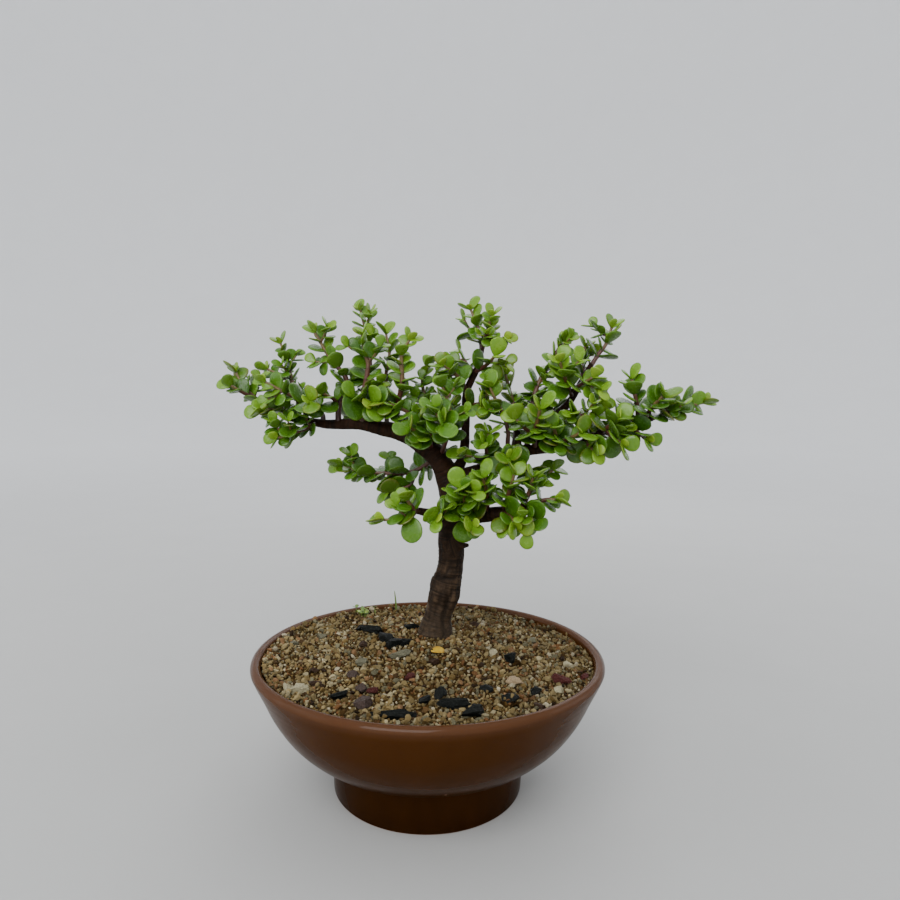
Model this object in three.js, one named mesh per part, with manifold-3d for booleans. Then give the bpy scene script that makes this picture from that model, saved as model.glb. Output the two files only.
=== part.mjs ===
// A dwarf-jade bonsai in a glazed footed bowl: bowl, gritty soil, trunk with its limbs, and leafy stems.
// Millimetres, +Z up. The bowl's axis is x = y = 0 while the pieces are made; the finished group is then
// moved so that its origin lies under the middle of its bounding box, on the ground.
import * as THREE from "three";
import { mergeVertices } from "three/addons/utils/BufferGeometryUtils.js";
import Module from "manifold-3d";

const wasm = await Module();
wasm.setup();

// ---- Driving dimensions ----
const GAP = 0.3; // clearance between pieces that touch
const BOWL = { rim: 142, height: 110, wall: 8, foot: 77, footHeight: 31, floor: 41, recess: 3.5, drain: 9 };
const BOWL_SIDES = 26;
const SOIL = { edge: 104.5, mound: 10.5, spread: 62, tilt: -0.012, cell: 16, grit: 1.7, seed: 7 };
const TRUNK_FOOT = { x: 4.5, y: 25 };

// The tree is drawn as a front elevation seen from EYE. A branch point is [across, up, depth, radius]:
// across and up are read in the elevation's plane, and depth moves the point along its line of sight.
const EYE = { x: 18, y: -546, z: 304 };
const ELEVATION = { x: -2.5, y: 25 };

// A leaf's width is a share of its length. Along a twig its size falls from `first` by `taper` and its rise
// from the twig grows from `rise` by `lift`; the other values are how far each leaf may stray from that.
const LEAF = { width: 0.86, thick: 2.4, first: 1.04, taper: 0.22, vary: 0.17, rise: 26, lift: 26, stray: 22,
  roll: 22, swing: 16, light: 0.45, seed: 21 };
const LAST_PAIR = 0.995; // where along a twig its last pair of leaves sits
const NEAR_SIGHT = 0.85; // a twig that points this much along the line of sight is turned about by +Z
const LIGHT = new THREE.Vector3(0, -0.6, 0.8); // leaves turn their upper faces partly this way
// Half the outline of a leaf, as [share of the length, share of the half width].
const LEAF_EDGE = [[0.36, 0.68], [0.8, 0.95]];
const LEAF_BELLY = 0.58; // where along its length a leaf is thickest
// The turns about the stem, in degrees, and sizes that a leaf tries until it is clear of its neighbours.
const LEAF_BENDS = [[0, 1], [24, 1], [-24, 1], [48, 0.95], [-48, 0.95], [72, 0.9], [-72, 0.9], [0, 0.75],
  [36, 0.75], [-36, 0.75]];
const LEAF_CLEAR = 0.35;
const STEM_SIDES = 3;
const STEM_STEP = 18; // length of one straight stretch of a leafy stem

// ---- The tree, as branch points ----
const TRUNK = [
  [5, 90, 25, 12], [6, 104, 25, 16], [7, 115, 25, 15], [9, 129, 25, 12], [12, 140, 25, 12.2],
  [15, 151, 24, 13.4], [17, 160, 24, 12.6], [19, 170, 24, 11.2], [20, 182, 24, 11], [20.5, 200, 24, 11.6],
  [22, 224, 25, 12], [20, 240, 25, 12], [16, 250, 26, 10.5], [12, 260, 27, 9.5], [6, 269, 28, 9],
  [-3, 276, 29, 8.8], [-12, 282.5, 30, 8.3], [-25, 288, 32, 7.4], [-40, 291, 34, 6.2], [-55, 294, 36, 5.4],
  [-70, 294.5, 38, 4.7], [-85, 294, 40, 4.2], [-97, 295.5, 42, 3.6], [-110, 298, 44, 3.2],
  [-122, 299, 46, 2.6],
];
const TRUNK_SIDES = 10;
const TRUNK_STEPS = 30;
const RIPPLE = { size: 0.05, turn: 2.4 }; // how far the trunk is from round, and how that turns ring by ring
const LIMBS = [
  { sides: 7, steps: 14, path: [[19, 240, 25, 8.5], [30, 250, 24, 7.6], [45, 257, 22, 6.3],
    [60, 266, 20, 5.4], [77, 273, 17, 4.8], [100, 275.5, 13, 4.2], [125, 278, 10, 3.7], [140, 287, 8, 3.2],
    [150, 291, 7, 3.1], [172, 298, 5, 3.2], [190, 302.5, 1, 2.6]] },
  { sides: 6, steps: 8, path: [[20, 248, 28, 6], [26, 260, 31, 5], [30, 272, 34, 4.3], [31, 300, 36, 3.7],
    [31, 320, 38, 3.3], [35, 332, 39, 3.2], [41, 345, 40, 2.9], [44, 359, 42, 2.4]] },
  { sides: 6, steps: 6, path: [[94, 276, 13, 4.3], [104, 298, 18, 3.9], [110, 306, 20, 3.5],
    [117, 313, 22, 3.3], [124, 324, 24, 3], [130, 335, 26, 2.7], [137, 348, 28, 2.3]] },
  { sides: 7, steps: 7, path: [[22, 216, 21, 8], [32, 215, 12, 7], [46, 218, 2, 6.4], [60, 219.5, -6, 5.8],
    [78, 223.5, -13, 4.4], [94, 230, -20, 2.8]] },
  { sides: 6, steps: 4, path: [[19, 218, 20, 5], [3, 219, 12, 4], [-10, 221, 6, 3]] },
  { sides: 5, steps: 2, path: [[76, 272, 18, 3.6], [75.5, 282, 19, 3.1], [75, 291, 20, 2.6]] },
  { sides: 5, steps: 2, path: [[22, 191, 22, 4], [29, 191.5, 16, 3], [35, 192, 12, 1.6]] },
];

// A leafy stem is one or more twigs. Each has its path, the share of it that is bare, the distance between
// pairs of leaves, the length of a leaf, and the turn of its first pair (0 spreads the pair across the view).
const twig = (path, bare, spacing, leaf, turn = 0) => ({ path, bare, spacing, leaf, turn });
const STEMS = {
  // left of the trunk
  stem_far_left: [
    twig([[-116, 299, 45, 2.4], [-135, 307, 49, 2.2], [-148, 316, 52, 1.9], [-157, 325, 54, 1.5],
      [-164, 337, 55, 1.1]], 0.2, 16, 18),
    twig([[-148, 316, 52, 1.7], [-158, 320, 44, 1.5], [-168, 326, 38, 1.1]], 0.3, 14, 16, 40)],
  stem_far_left_low: [
    twig([[-95, 295.5, 41.5, 2], [-101, 292, 34, 1.9], [-111, 288, 27, 1.6], [-121, 284, 20, 1.3],
      [-129, 282, 16, 1.1]], 0.22, 14, 16.5, 60)],
  stem_left_fork_high: [
    twig([[-90, 295, 41, 2.4], [-91, 303, 48, 2.2], [-101, 313, 56, 2], [-112, 318, 61, 1.8],
      [-116, 330, 65, 1.7], [-121, 348, 68, 1.4], [-126, 362, 69, 1]], 0.25, 16, 15, 0),
    twig([[-115, 328, 64, 1.5], [-126, 335, 70, 1.3], [-137, 340, 75, 1.1]], 0.35, 14, 15, 0)],
  stem_left_fork_low: [
    twig([[-103, 297, 43, 2.1], [-107, 307, 33, 1.9], [-114, 316, 27, 1.6], [-125, 322, 23, 1.4],
      [-139, 329, 20, 1.1]], 0.25, 14.5, 16.5, 20),
    twig([[-107, 307, 33, 1.6], [-104, 312, 24, 1.5], [-102, 314, 15, 1.2]], 0.4, 13.5, 19, 0)],
  stem_left_outer: [
    twig([[-112, 298.3, 44.3, 1.9], [-127, 303, 38, 1.7], [-134, 306, 31, 1.4], [-142, 305, 26, 1.1]],
      0.3, 14, 18.5, 80)],
  stem_left_tall: [
    twig([[-77, 294, 38.6, 2.8], [-77, 306, 37, 2.6], [-75, 315, 36, 2.3], [-70, 331, 34, 2.1],
      [-78, 343, 33, 1.8], [-86, 353, 32, 1.6], [-97, 371, 32, 1.1]], 0.4, 16.5, 16.5, 20),
    twig([[-76, 310, 36.5, 1.6], [-82, 316, 28, 1.4], [-90, 320, 22, 1.1]], 0.3, 13.5, 16.5, 50),
    twig([[-75, 314, 36, 1.6], [-68, 315, 29, 1.4], [-63, 313, 22, 1.1]], 0.35, 14, 16.5, 20)],
  stem_left_inner: [
    twig([[-55, 293.5, 36, 2.8], [-58, 306, 30, 2.6], [-56, 320, 26, 2.4], [-52, 343, 22, 2],
      [-55, 356, 20, 1.5], [-57, 370, 19, 1.1]], 0.3, 16, 17, 60),
    twig([[-57, 313, 28, 1.6], [-52, 314, 20, 1.4], [-49, 313, 12, 1.2]], 0.6, 14.5, 24, 10)],
  stem_left_tallest: [
    twig([[-46, 292, 35, 2.2], [-46, 308, 46, 2.1], [-49, 332, 54, 1.9], [-51, 355, 58, 1.6],
      [-54, 372, 60, 1.3], [-59, 390.5, 61, 1]], 0.3, 17, 14.5, 10)],
  stem_left_middle: [
    twig([[-36, 290, 34, 2.2], [-36, 310, 45, 2], [-37, 335, 50, 1.6], [-34, 355, 52, 1.3],
      [-37, 371, 53, 1]], 0.25, 16, 16, 50)],
  stem_left_near_trunk: [
    twig([[-27, 288.5, 32.5, 2.7], [-27, 302, 24, 2.5], [-26, 315, 18, 2.3], [-23, 330, 14, 2.1],
      [-24, 346, 12, 1.8], [-23, 356, 11, 1.4], [-17, 366, 10, 1.1]], 0.3, 14.5, 17, 10)],
  stem_left_dark: [
    twig([[-9, 280.5, 29.5, 2], [-12, 293, 20, 1.8], [-17, 304, 13, 1.6], [-27, 309, 9, 1.4],
      [-38, 313, 6, 1.1]], 0.45, 16.5, 17, 30)],
  stem_over_trunk: [
    twig([[-2, 275.5, 29, 2.1], [0, 295, 36, 1.9], [-3, 315, 40, 1.7], [-6, 330, 42, 1.4],
      [-2, 343, 43, 1.1]], 0.3, 14.5, 16, 20)],
  stem_front_bright: [
    twig([[2, 272, 28, 2.9], [0, 282, 12, 2.7], [3, 291, -4, 2.2], [9, 295, -18, 1.7], [12, 296, -30, 1.2]],
      0.45, 13.5, 20, 30),
    twig([[0, 281, 13, 1.9], [-9, 287, 2, 1.7], [-16, 292, -10, 1.2]], 0.35, 13.5, 18.5, 70)],
  stem_front_high: [
    twig([[9, 265.5, 27.5, 2.2], [15, 283, 12, 2], [18, 300, 2, 1.7], [16, 314, -3, 1.4],
      [11, 327, -5, 1.1]], 0.35, 14.5, 17, 10)],
  // the middle
  stem_top: [
    twig([[43.6, 357, 41.6, 2], [43, 365, 43, 1.8], [40, 378, 45, 1.5], [34, 392, 46, 1]], 0.2, 14, 15, 0),
    twig([[42, 370, 44, 1.4], [34, 375, 52, 1.2], [29, 383, 57, 1]], 0.3, 14, 14.5, 20),
    twig([[43.6, 356.5, 41.6, 1.9], [46.5, 366, 36, 1.7], [49, 377, 31, 1.4], [52, 387, 28, 1]],
      0.35, 14, 15, 0),
    twig([[46.5, 366, 36, 1.3], [54, 367.5, 30, 1.2], [63, 368, 25, 1]], 0.3, 14.5, 15, 10)],
  stem_centre_pair: [
    twig([[38, 339, 39.6, 2], [47, 345, 30, 1.7], [55, 353, 21, 1.1]], 0.3, 13.5, 18, 20),
    twig([[38, 339, 39.6, 1.8], [31, 347, 50, 1.5], [26, 356, 57, 1.1]], 0.35, 13.5, 16.5, 50)],
  stem_centre_left: [
    twig([[31, 324, 38.4, 2], [27, 332, 32, 1.8], [20, 339, 26, 1.5], [12, 345, 22, 1.1]],
      0.3, 13.5, 16.5, 30)],
  stem_centre_low: [
    twig([[31, 309, 37, 2], [38, 312, 28, 1.7], [43, 313, 19, 1.4], [44, 312, 11, 1.1]], 0.35, 14, 17, 10)],
  stem_centre_back: [
    twig([[31, 293, 35.6, 2.2], [24, 301, 48, 1.9], [15, 309, 60, 1.6], [8, 319, 70, 1.2]],
      0.3, 14.5, 17, 40)],
  stem_middle_front: [
    twig([[46, 257.5, 21.8, 2], [49, 267, 12, 1.8], [49, 277, 5, 1.5], [51, 288, 0, 1.1]], 0.3, 14, 16, 20),
    twig([[48, 264, 15, 1.5], [38, 267, 6, 1.3], [30, 269, 0, 1.1]], 0.35, 14.5, 16, 10)],
  stem_middle_red: [
    twig([[67, 269, 18.8, 2.2], [67, 281, 13, 2], [67, 290, 10, 1.8], [63, 304, 7, 1.6], [56, 317, 5, 1.3],
      [51, 327, 4, 1]], 0.45, 16, 16, 0)],
  stem_middle_low: [
    twig([[64, 267.5, 19.2, 2.2], [65, 266, 8, 1.8], [67, 266, -2, 1.4], [69, 267, -12, 1.1]],
      0.35, 13.5, 19, 20)],
  // right of the trunk
  stem_right_tall: [
    twig([[83, 273.5, 16, 2.6], [85, 294, 25, 2.4], [88, 314, 29, 2.2], [92, 330, 31, 1.9],
      [100, 345, 31, 1.6], [112, 366, 31, 1.1]], 0.3, 14.5, 16, 10)],
  stem_right_inner: [
    twig([[71, 270.5, 18.2, 2.2], [74, 295, 36, 2], [71, 313, 44, 1.7], [67, 328, 48, 1.4],
      [64, 338, 50, 1.1]], 0.32, 14.5, 17, 40)],
  stem_right_front: [
    twig([[90, 274.5, 15, 2.4], [90, 287, 3, 2.1], [92, 299, -6, 1.7], [94, 309, -12, 1.2]],
      0.3, 14, 19, 20),
    twig([[90, 285, 5, 1.7], [81, 293, -2, 1.5], [74, 300, -6, 1.1]], 0.3, 14, 18, 50)],
  stem_right_top: [
    twig([[134, 342, 27, 2.1], [142, 355, 30, 1.8], [149, 365, 31, 1.5], [153, 378, 32, 1.1]],
      0.35, 14, 17, 0)],
  stem_right_mass: [
    twig([[121, 319.5, 23, 2], [117, 329, 12, 1.7], [113, 340, 4, 1.4], [110, 349, 0, 1.1]],
      0.3, 14, 18.5, 20),
    twig([[119, 324, 18, 1.6], [128, 330, 9, 1.4], [138, 336, 3, 1.1]], 0.35, 14, 18, 60)],
  stem_right_small: [
    twig([[128, 331, 25.4, 1.7], [130, 345, 36, 1.5], [131, 362, 42, 1]], 0.3, 14.5, 15, 20)],
  stem_right_node: [
    twig([[108, 303.5, 19.6, 1.8], [103, 311, 29, 1.5], [100, 319, 36, 1.1]], 0.35, 13.5, 16.5, 10)],
  stem_right_thin: [
    twig([[111, 307, 20.4, 1.6], [122, 307, 14, 1.4], [132, 303, 10, 1.3], [140, 302, 7, 1.2],
      [147, 309, 4, 1]], 0.25, 16, 16, 70)],
  stem_right_under: [
    twig([[109, 276.2, 12, 2.2], [108, 285, 0, 1.9], [106, 293, -9, 1.3]], 0.3, 13.5, 18.5, 10),
    twig([[109, 280, 6.5, 1.9], [119, 284, -3, 1.6], [128, 289, -10, 1.2]], 0.3, 13.5, 18.5, 60)],
  stem_right_mid: [
    twig([[147, 289.7, 7.3, 2.2], [153, 295, -2, 1.9], [161, 300, -9, 1.3]], 0.3, 13.5, 19.5, 20),
    twig([[150, 292, 3, 1.8], [156, 286, -4, 1.6], [163, 281, -10, 1.2]], 0.35, 13.5, 19, 60)],
  stem_right_mid_back: [
    twig([[158, 294, 6.4, 2], [163, 301, 17, 1.7], [168, 309, 25, 1.2]], 0.3, 13.5, 18, 30)],
  stem_right_upright: [
    twig([[177, 299.2, 4, 2], [176.5, 311, 1, 1.8], [174, 322, -1, 1.5], [171, 335, -2, 1]],
      0.3, 16, 16.5, 0)],
  stem_right_end: [
    twig([[187, 301.7, 1.8, 2.3], [200, 306, -3, 2], [215, 312, -7, 1.7], [232, 316, -9, 1.1]],
      0.25, 14, 18.5, 80)],
  stem_right_end_front: [
    twig([[182, 300.4, 3, 2.1], [186, 307, -7, 1.8], [191, 314, -15, 1.5], [198, 321, -22, 1.2]],
      0.35, 13.5, 19, 20)],
  stem_right_end_low: [
    twig([[170, 297.5, 5.2, 1.8], [176, 291, -2, 1.6], [184, 285, -7, 1.1]], 0.35, 13.5, 17, 40)],
  stem_right_hanging: [
    twig([[134, 282.8, 9, 1.7], [136, 278, 1, 1.5], [140, 275, -6, 1.1]], 0.35, 13.5, 18, 20)],
  // the low limb in front
  stem_low_end: [
    twig([[91, 228.7, -18.8, 1.9], [99, 231.5, -22, 1.6], [109, 232, -25, 1.1]], 0.3, 13.5, 17, 30)],
  stem_low_first: [
    twig([[34, 215.3, 10.5, 2.5], [33, 226, -5, 2.2], [30, 235, -16, 1.8], [28, 241, -25, 1.2]],
      0.35, 12, 19.5, 20),
    twig([[33.5, 219, 3, 2], [36, 214, -9, 1.7], [38, 210, -19, 1.2]], 0.35, 12, 19, 60)],
  stem_low_second: [
    twig([[50, 218.5, -0.5, 2.3], [50, 230, -12, 2], [49, 241, -20, 1.6], [46, 250, -26, 1.1]],
      0.3, 13.5, 18, 10)],
  stem_low_third: [
    twig([[63, 220, -7.2, 2.3], [67, 231, -15, 2], [70, 242, -20, 1.6], [73, 253, -24, 1.1]],
      0.3, 13.5, 17, 30),
    twig([[64, 223, -9.5, 1.8], [70, 217, -18, 1.6], [74, 211, -25, 1.2]], 0.3, 13.5, 19, 60)],
  stem_low_fourth: [
    twig([[78, 223.5, -13, 2.2], [84, 233, -19, 1.9], [87, 242, -22, 1.5], [89, 251, -24, 1.1]],
      0.3, 13.5, 17, 0),
    twig([[80, 226.5, -15, 1.8], [87, 218, -23, 1.6], [89, 210, -28, 1.3], [86, 203, -31, 1.1]],
      0.35, 13.5, 17, 30)],
  stem_on_trunk: [
    twig([[20, 217, 18, 2.4], [16, 218, 2, 2], [11, 217, -8, 1.6], [7, 215, -16, 1.2]], 0.55, 12, 19, 20)],
  stem_right_red: [
    twig([[80, 273.2, 16.5, 1.9], [82, 262, 26, 1.8], [86, 254, 31, 1.6], [95, 252, 33, 1.4],
      [106, 257, 34, 1.1]], 0.5, 14.5, 17, 30)],
  // low on the left
  stem_low_left: [
    twig([[-7, 220.6, 7.2, 2.3], [-13, 223, 3, 2], [-18, 230, -2, 1.3]], 0.35, 13.5, 18.5, 10),
    twig([[-10, 221.6, 5, 2], [-16, 215, 1, 1.8], [-26, 213, -1, 1.5], [-38, 213, -2, 1.1]],
      0.25, 16, 18, 0)],
  stem_hanging_left: [
    twig([[7, 267.5, 28, 2.3], [0, 262, 40, 2.1], [-10, 256, 47, 1.9], [-22, 253, 51, 1.7],
      [-38, 253, 54, 1.5], [-55, 254, 56, 1.3], [-74, 258, 57, 1]], 0.22, 16, 19, 30),
    twig([[-12, 255.5, 47.6, 1.6], [-14, 245, 50, 1.5], [-22, 240, 52, 1.3], [-34, 239, 54, 1]],
      0.35, 14.5, 20, 20)],
  // behind the trunk and limbs
  stem_back_trunk: [
    twig([[16, 250, 27, 3], [13, 261, 50, 2.7], [9, 273, 70, 2.2], [5, 291, 84, 1.7], [3, 307, 90, 1.2]],
      0.45, 14.5, 18, 20)],
  stem_back_left: [
    twig([[-63, 294.3, 37, 2.1], [-67, 303, 56, 1.9], [-70, 312, 72, 1.5], [-72, 324, 82, 1.1]],
      0.3, 14.5, 17, 20)],
  stem_back_right: [
    twig([[98, 275.4, 13.3, 2.1], [104, 282, 34, 1.9], [108, 294, 54, 1.6], [110, 308, 66, 1.1]],
      0.35, 14.5, 17, 20)],
  stem_back_far_right: [
    twig([[129, 279.8, 9.6, 1.9], [136, 289, 28, 1.7], [142, 299, 44, 1.4], [146, 308, 54, 1.1]],
      0.35, 14.5, 17, 30)],
};

// ---- Small things on the soil: [x, y, half length, half width, half height, turn in degrees] ----
const CHARCOAL = [[21, -96, 13, 7, 4.5, 12], [-21, -117, 17, 5, 4, -6], [-60, -86, 7, 6, 3.5, 30],
  [-21, 3, 8, 6, 4.5, 60]];
const CHIPS = [[-40, 38, 10, 5, 3.5, 20], [68, -20, 7, 5, 3, -30], [59, -91, 8, 6, 3.5, 40]];
const STANDING = 0.35; // share of a lump's half height by which its middle is above the soil
const FALLEN_LEAF = { x: 2, y: -17, length: 12, turn: 25, lift: 1.6 };
const GRASS = { x: -36, y: 118, radius: 1.1, above: 17, below: 8 };

// Colour and roughness of each material.
const FINISHES = {
  glaze: [0x8a5038, 0.3], soil: [0xb79f80, 0.95], bark: [0x3d2c24, 0.85], leaf: [0x4f7f22, 0.4],
  charcoal: [0x2b2623, 0.9], fallen: [0xc9a93a, 0.5], grass: [0x7f9a4a, 0.5],
};

// ---- Helpers ----
const rad = THREE.MathUtils.degToRad;

// A seeded draw between 0 and 1 (mulberry32).
function drawer(seed) {
  let state = seed >>> 0;
  return () => {
    state = (state + 0x6d2b79f5) >>> 0;
    let t = Math.imul(state ^ (state >>> 15), 1 | state);
    t = (t + Math.imul(t ^ (t >>> 7), 61 | t)) ^ t;
    return ((t ^ (t >>> 14)) >>> 0) / 4294967296;
  };
}

// A closed geometry as a solid for joining and cutting.
function solidOf(geometry) {
  const bare = new THREE.BufferGeometry();
  bare.setAttribute("position", geometry.getAttribute("position"));
  bare.setIndex(geometry.index);
  const merged = mergeVertices(bare, 1e-4);
  const mesh = new wasm.Mesh({
    numProp: 3,
    vertProperties: new Float32Array(merged.attributes.position.array),
    triVerts: new Uint32Array(merged.index.array),
  });
  return new wasm.Manifold(mesh);
}

function geometryOf(solid) {
  const mesh = solid.getMesh();
  const geometry = new THREE.BufferGeometry();
  geometry.setAttribute("position", new THREE.BufferAttribute(mesh.vertProperties, 3));
  geometry.setIndex(new THREE.BufferAttribute(mesh.triVerts, 1));
  geometry.computeVertexNormals();
  return geometry;
}

// The largest body of a solid, without the loose scraps that a cut leaves.
function mainBody(solid) {
  const bodies = solid.decompose();
  return bodies.reduce((best, body) => (body.volume() > best.volume() ? body : best));
}

// Moves a branch point from the front elevation along its line of sight to its own depth.
function placed([across, up, depth, radius]) {
  const share = (depth - EYE.y) / (ELEVATION.y - EYE.y);
  return [ELEVATION.x + EYE.x + (across - EYE.x) * share, depth, EYE.z + (up - EYE.z) * share, radius];
}

// A smooth run of [x, y, z, radius] rows through branch points (a uniform Catmull-Rom curve).
function runThrough(path, stretches = 6) {
  const points = path.map(placed);
  const mirrored = (a, b) => a.map((value, i) => 2 * value - b[i]);
  const all = [mirrored(points[0], points[1]), ...points, mirrored(points.at(-1), points.at(-2))];
  const rows = [points[0]];
  for (let i = 1; i < all.length - 2; i++) {
    for (let k = 1; k <= stretches; k++) {
      const t = k / stretches;
      rows.push(all[i].map((start, n) => {
        const end = all[i + 1][n];
        const leave = (end - all[i - 1][n]) / 2;
        const arrive = (all[i + 2][n] - start) / 2;
        const cubic = 2 * start - 2 * end + leave + arrive;
        const square = -3 * start + 3 * end - 2 * leave - arrive;
        return ((cubic * t + square) * t + leave) * t + start;
      }));
    }
  }
  return rows;
}

// The length of a run up to each of its rows.
function lengthsOf(rows) {
  const lengths = [0];
  for (let i = 1; i < rows.length; i++) {
    const [ax, ay, az] = rows[i - 1];
    const [bx, by, bz] = rows[i];
    lengths.push(lengths[i - 1] + Math.hypot(bx - ax, by - ay, bz - az));
  }
  return lengths;
}

// The place, direction and radius at a distance along a run.
function along(rows, lengths, distance) {
  let i = 1;
  while (i < rows.length - 1 && lengths[i] < distance) i++;
  const share = (distance - lengths[i - 1]) / (lengths[i] - lengths[i - 1]);
  const [ax, ay, az, ar] = rows[i - 1];
  const [bx, by, bz, br] = rows[i];
  return {
    at: new THREE.Vector3(ax + (bx - ax) * share, ay + (by - ay) * share, az + (bz - az) * share),
    dir: new THREE.Vector3(bx - ax, by - ay, bz - az).normalize(),
    radius: ar + (br - ar) * share,
  };
}

// A closed tapered tube along a run: a cylinder whose rings are carried along it without twist.
function tube(rows, sides, steps, grow = 0, ripple = 0) {
  const lengths = lengthsOf(rows);
  const total = lengths.at(-1);
  const rings = [];
  let side = new THREE.Vector3(0, 1, 0);
  for (let i = 0; i <= steps; i++) {
    const ring = along(rows, lengths, (total * i) / steps);
    side = side.clone().addScaledVector(ring.dir, -side.dot(ring.dir)).normalize();
    rings.push({ ...ring, side, other: ring.dir.clone().cross(side) });
  }
  const geometry = new THREE.CylinderGeometry(1, 1, 1, sides, steps);
  const position = geometry.getAttribute("position");
  for (let n = 0; n < position.count; n++) {
    const i = Math.round((position.getY(n) + 0.5) * steps);
    const { at, side: u, other: v, radius } = rings[i];
    const [across, up] = [position.getX(n), position.getZ(n)];
    const bulge = 1 + ripple * Math.sin(RIPPLE.turn * i + 2 * Math.atan2(up, across));
    const reach = radius * bulge + grow;
    const spot = at.clone().addScaledVector(u, across * reach).addScaledVector(v, up * reach);
    position.setXYZ(n, spot.x, spot.y, spot.z);
  }
  return upright(solidOf(geometry));
}

// A solid made inside out by a left-handed move is turned the right way round.
function upright(solid) {
  if (solid.volume() > 0) return solid;
  const mesh = solid.getMesh();
  for (let i = 0; i < mesh.triVerts.length; i += 3) {
    const second = mesh.triVerts[i + 1];
    mesh.triVerts[i + 1] = mesh.triVerts[i + 2];
    mesh.triVerts[i + 2] = second;
  }
  return new wasm.Manifold(mesh);
}

// ---- Bowl and soil ----
// The inner face of the bowl as [radius, height] from its floor to its rim.
const INNER_FACE = [[60, BOWL.floor], [95, 48], [115, 66], [126, 86], [BOWL.rim - BOWL.wall, 106]];

function bowl() {
  const { rim, height, foot, footHeight, floor, recess, drain } = BOWL;
  const outer = [[foot, 0], [foot + 2, footHeight], [97, 40], [114, 55], [126, 72], [134, 89], [rim, 107]];
  const lip = [[rim - 2.5, height], [rim - 6, height]];
  const inner = INNER_FACE.toReversed();
  const under = [[drain, floor], [drain, recess], [foot - 8, recess], [foot - 7, 0]];
  const profile = [...outer, ...lip, ...inner, ...under, outer[0]].map(([r, z]) => new THREE.Vector2(r, z));
  return upright(solidOf(new THREE.LatheGeometry(profile, BOWL_SIDES).rotateX(Math.PI / 2)));
}

// The space inside the bowl, up to well above its rim, less the clearance.
function bowlInside() {
  const wall = INNER_FACE.map(([r, z]) => [r - GAP, z + GAP]);
  const reach = BOWL.rim - BOWL.wall - GAP;
  const top = BOWL.height + 30;
  const rows = [[0, BOWL.floor + GAP], ...wall, [reach, top], [0, top]];
  const profile = rows.map(([r, z]) => new THREE.Vector2(r, z));
  return upright(solidOf(new THREE.LatheGeometry(profile, BOWL_SIDES).rotateX(Math.PI / 2)));
}

// Height of the soil, mounded round the trunk and a little higher on the left.
function soilHeight(x, y) {
  const fromTrunk = Math.hypot(x - TRUNK_FOOT.x, y - TRUNK_FOOT.y);
  return SOIL.edge + SOIL.mound * Math.exp(-((fromTrunk / SOIL.spread) ** 2)) + SOIL.tilt * x;
}

// The soil block: its top carries the grit as relief.
function soilBlock() {
  const width = 2 * BOWL.rim;
  const cells = Math.round(width / SOIL.cell);
  const geometry = new THREE.BoxGeometry(width, width, BOWL.height, cells, cells, 1);
  geometry.translate(0, 0, BOWL.height / 2);
  const position = geometry.getAttribute("position");
  const draws = new Map();
  const draw = drawer(SOIL.seed);
  for (let n = 0; n < position.count; n++) {
    if (position.getZ(n) < BOWL.height / 2) continue;
    const [x, y] = [position.getX(n), position.getY(n)];
    const key = `${Math.round(x)},${Math.round(y)}`;
    if (!draws.has(key)) draws.set(key, (2 * draw() - 1) * SOIL.grit);
    position.setZ(n, soilHeight(x, y) + draws.get(key));
  }
  return solidOf(geometry);
}

// A rough lump, such as a piece of charcoal, lying on the soil.
function lump([x, y, long, wide, high, turn], grow = 0) {
  const geometry = new THREE.IcosahedronGeometry(1, 0);
  geometry.scale(long + grow, wide + grow, high + grow);
  geometry.rotateZ(rad(turn)).translate(x, y, soilHeight(x, y) + STANDING * high);
  return solidOf(geometry);
}

// A blade of grass, as a thin three-sided spike that stands in a hole in the soil.
function grassBlade(grow = 0) {
  const { x, y, radius, above, below } = GRASS;
  const geometry = new THREE.ConeGeometry(radius + grow, above + below + 2 * grow, 3);
  geometry.rotateX(Math.PI / 2).translate(x, y, soilHeight(x, y) + (above - below) / 2);
  return solidOf(geometry);
}

// ---- Leaves and leafy stems ----
// A fleshy leaf: an egg-shaped outline, thick in the middle, that grows from its base along dir.
function leaf({ base, dir, face, length }, grow = 0) {
  const across = dir.clone().cross(face);
  const half = (LEAF.width * length) / 2 + grow;
  const reach = length + 2 * grow;
  const spot = (share, wide, high) => base.clone().addScaledVector(dir, share * reach - grow)
    .addScaledVector(across, wide * half).addScaledVector(face, high);
  const edge = [spot(0, 0, 0), ...LEAF_EDGE.map(([share, wide]) => spot(share, wide, 0)), spot(1, 0, 0),
    ...LEAF_EDGE.toReversed().map(([share, wide]) => spot(share, -wide, 0))];
  const high = LEAF.thick / 2 + grow;
  const corners = [...edge, spot(LEAF_BELLY, 0, high), spot(LEAF_BELLY, 0, -high)];
  const triangles = edge.flatMap((_, i) => {
    const next = (i + 1) % edge.length;
    return [i, next, edge.length, next, i, edge.length + 1];
  });
  const geometry = new THREE.BufferGeometry().setFromPoints(corners);
  geometry.setIndex(triangles);
  return upright(solidOf(geometry));
}

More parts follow.
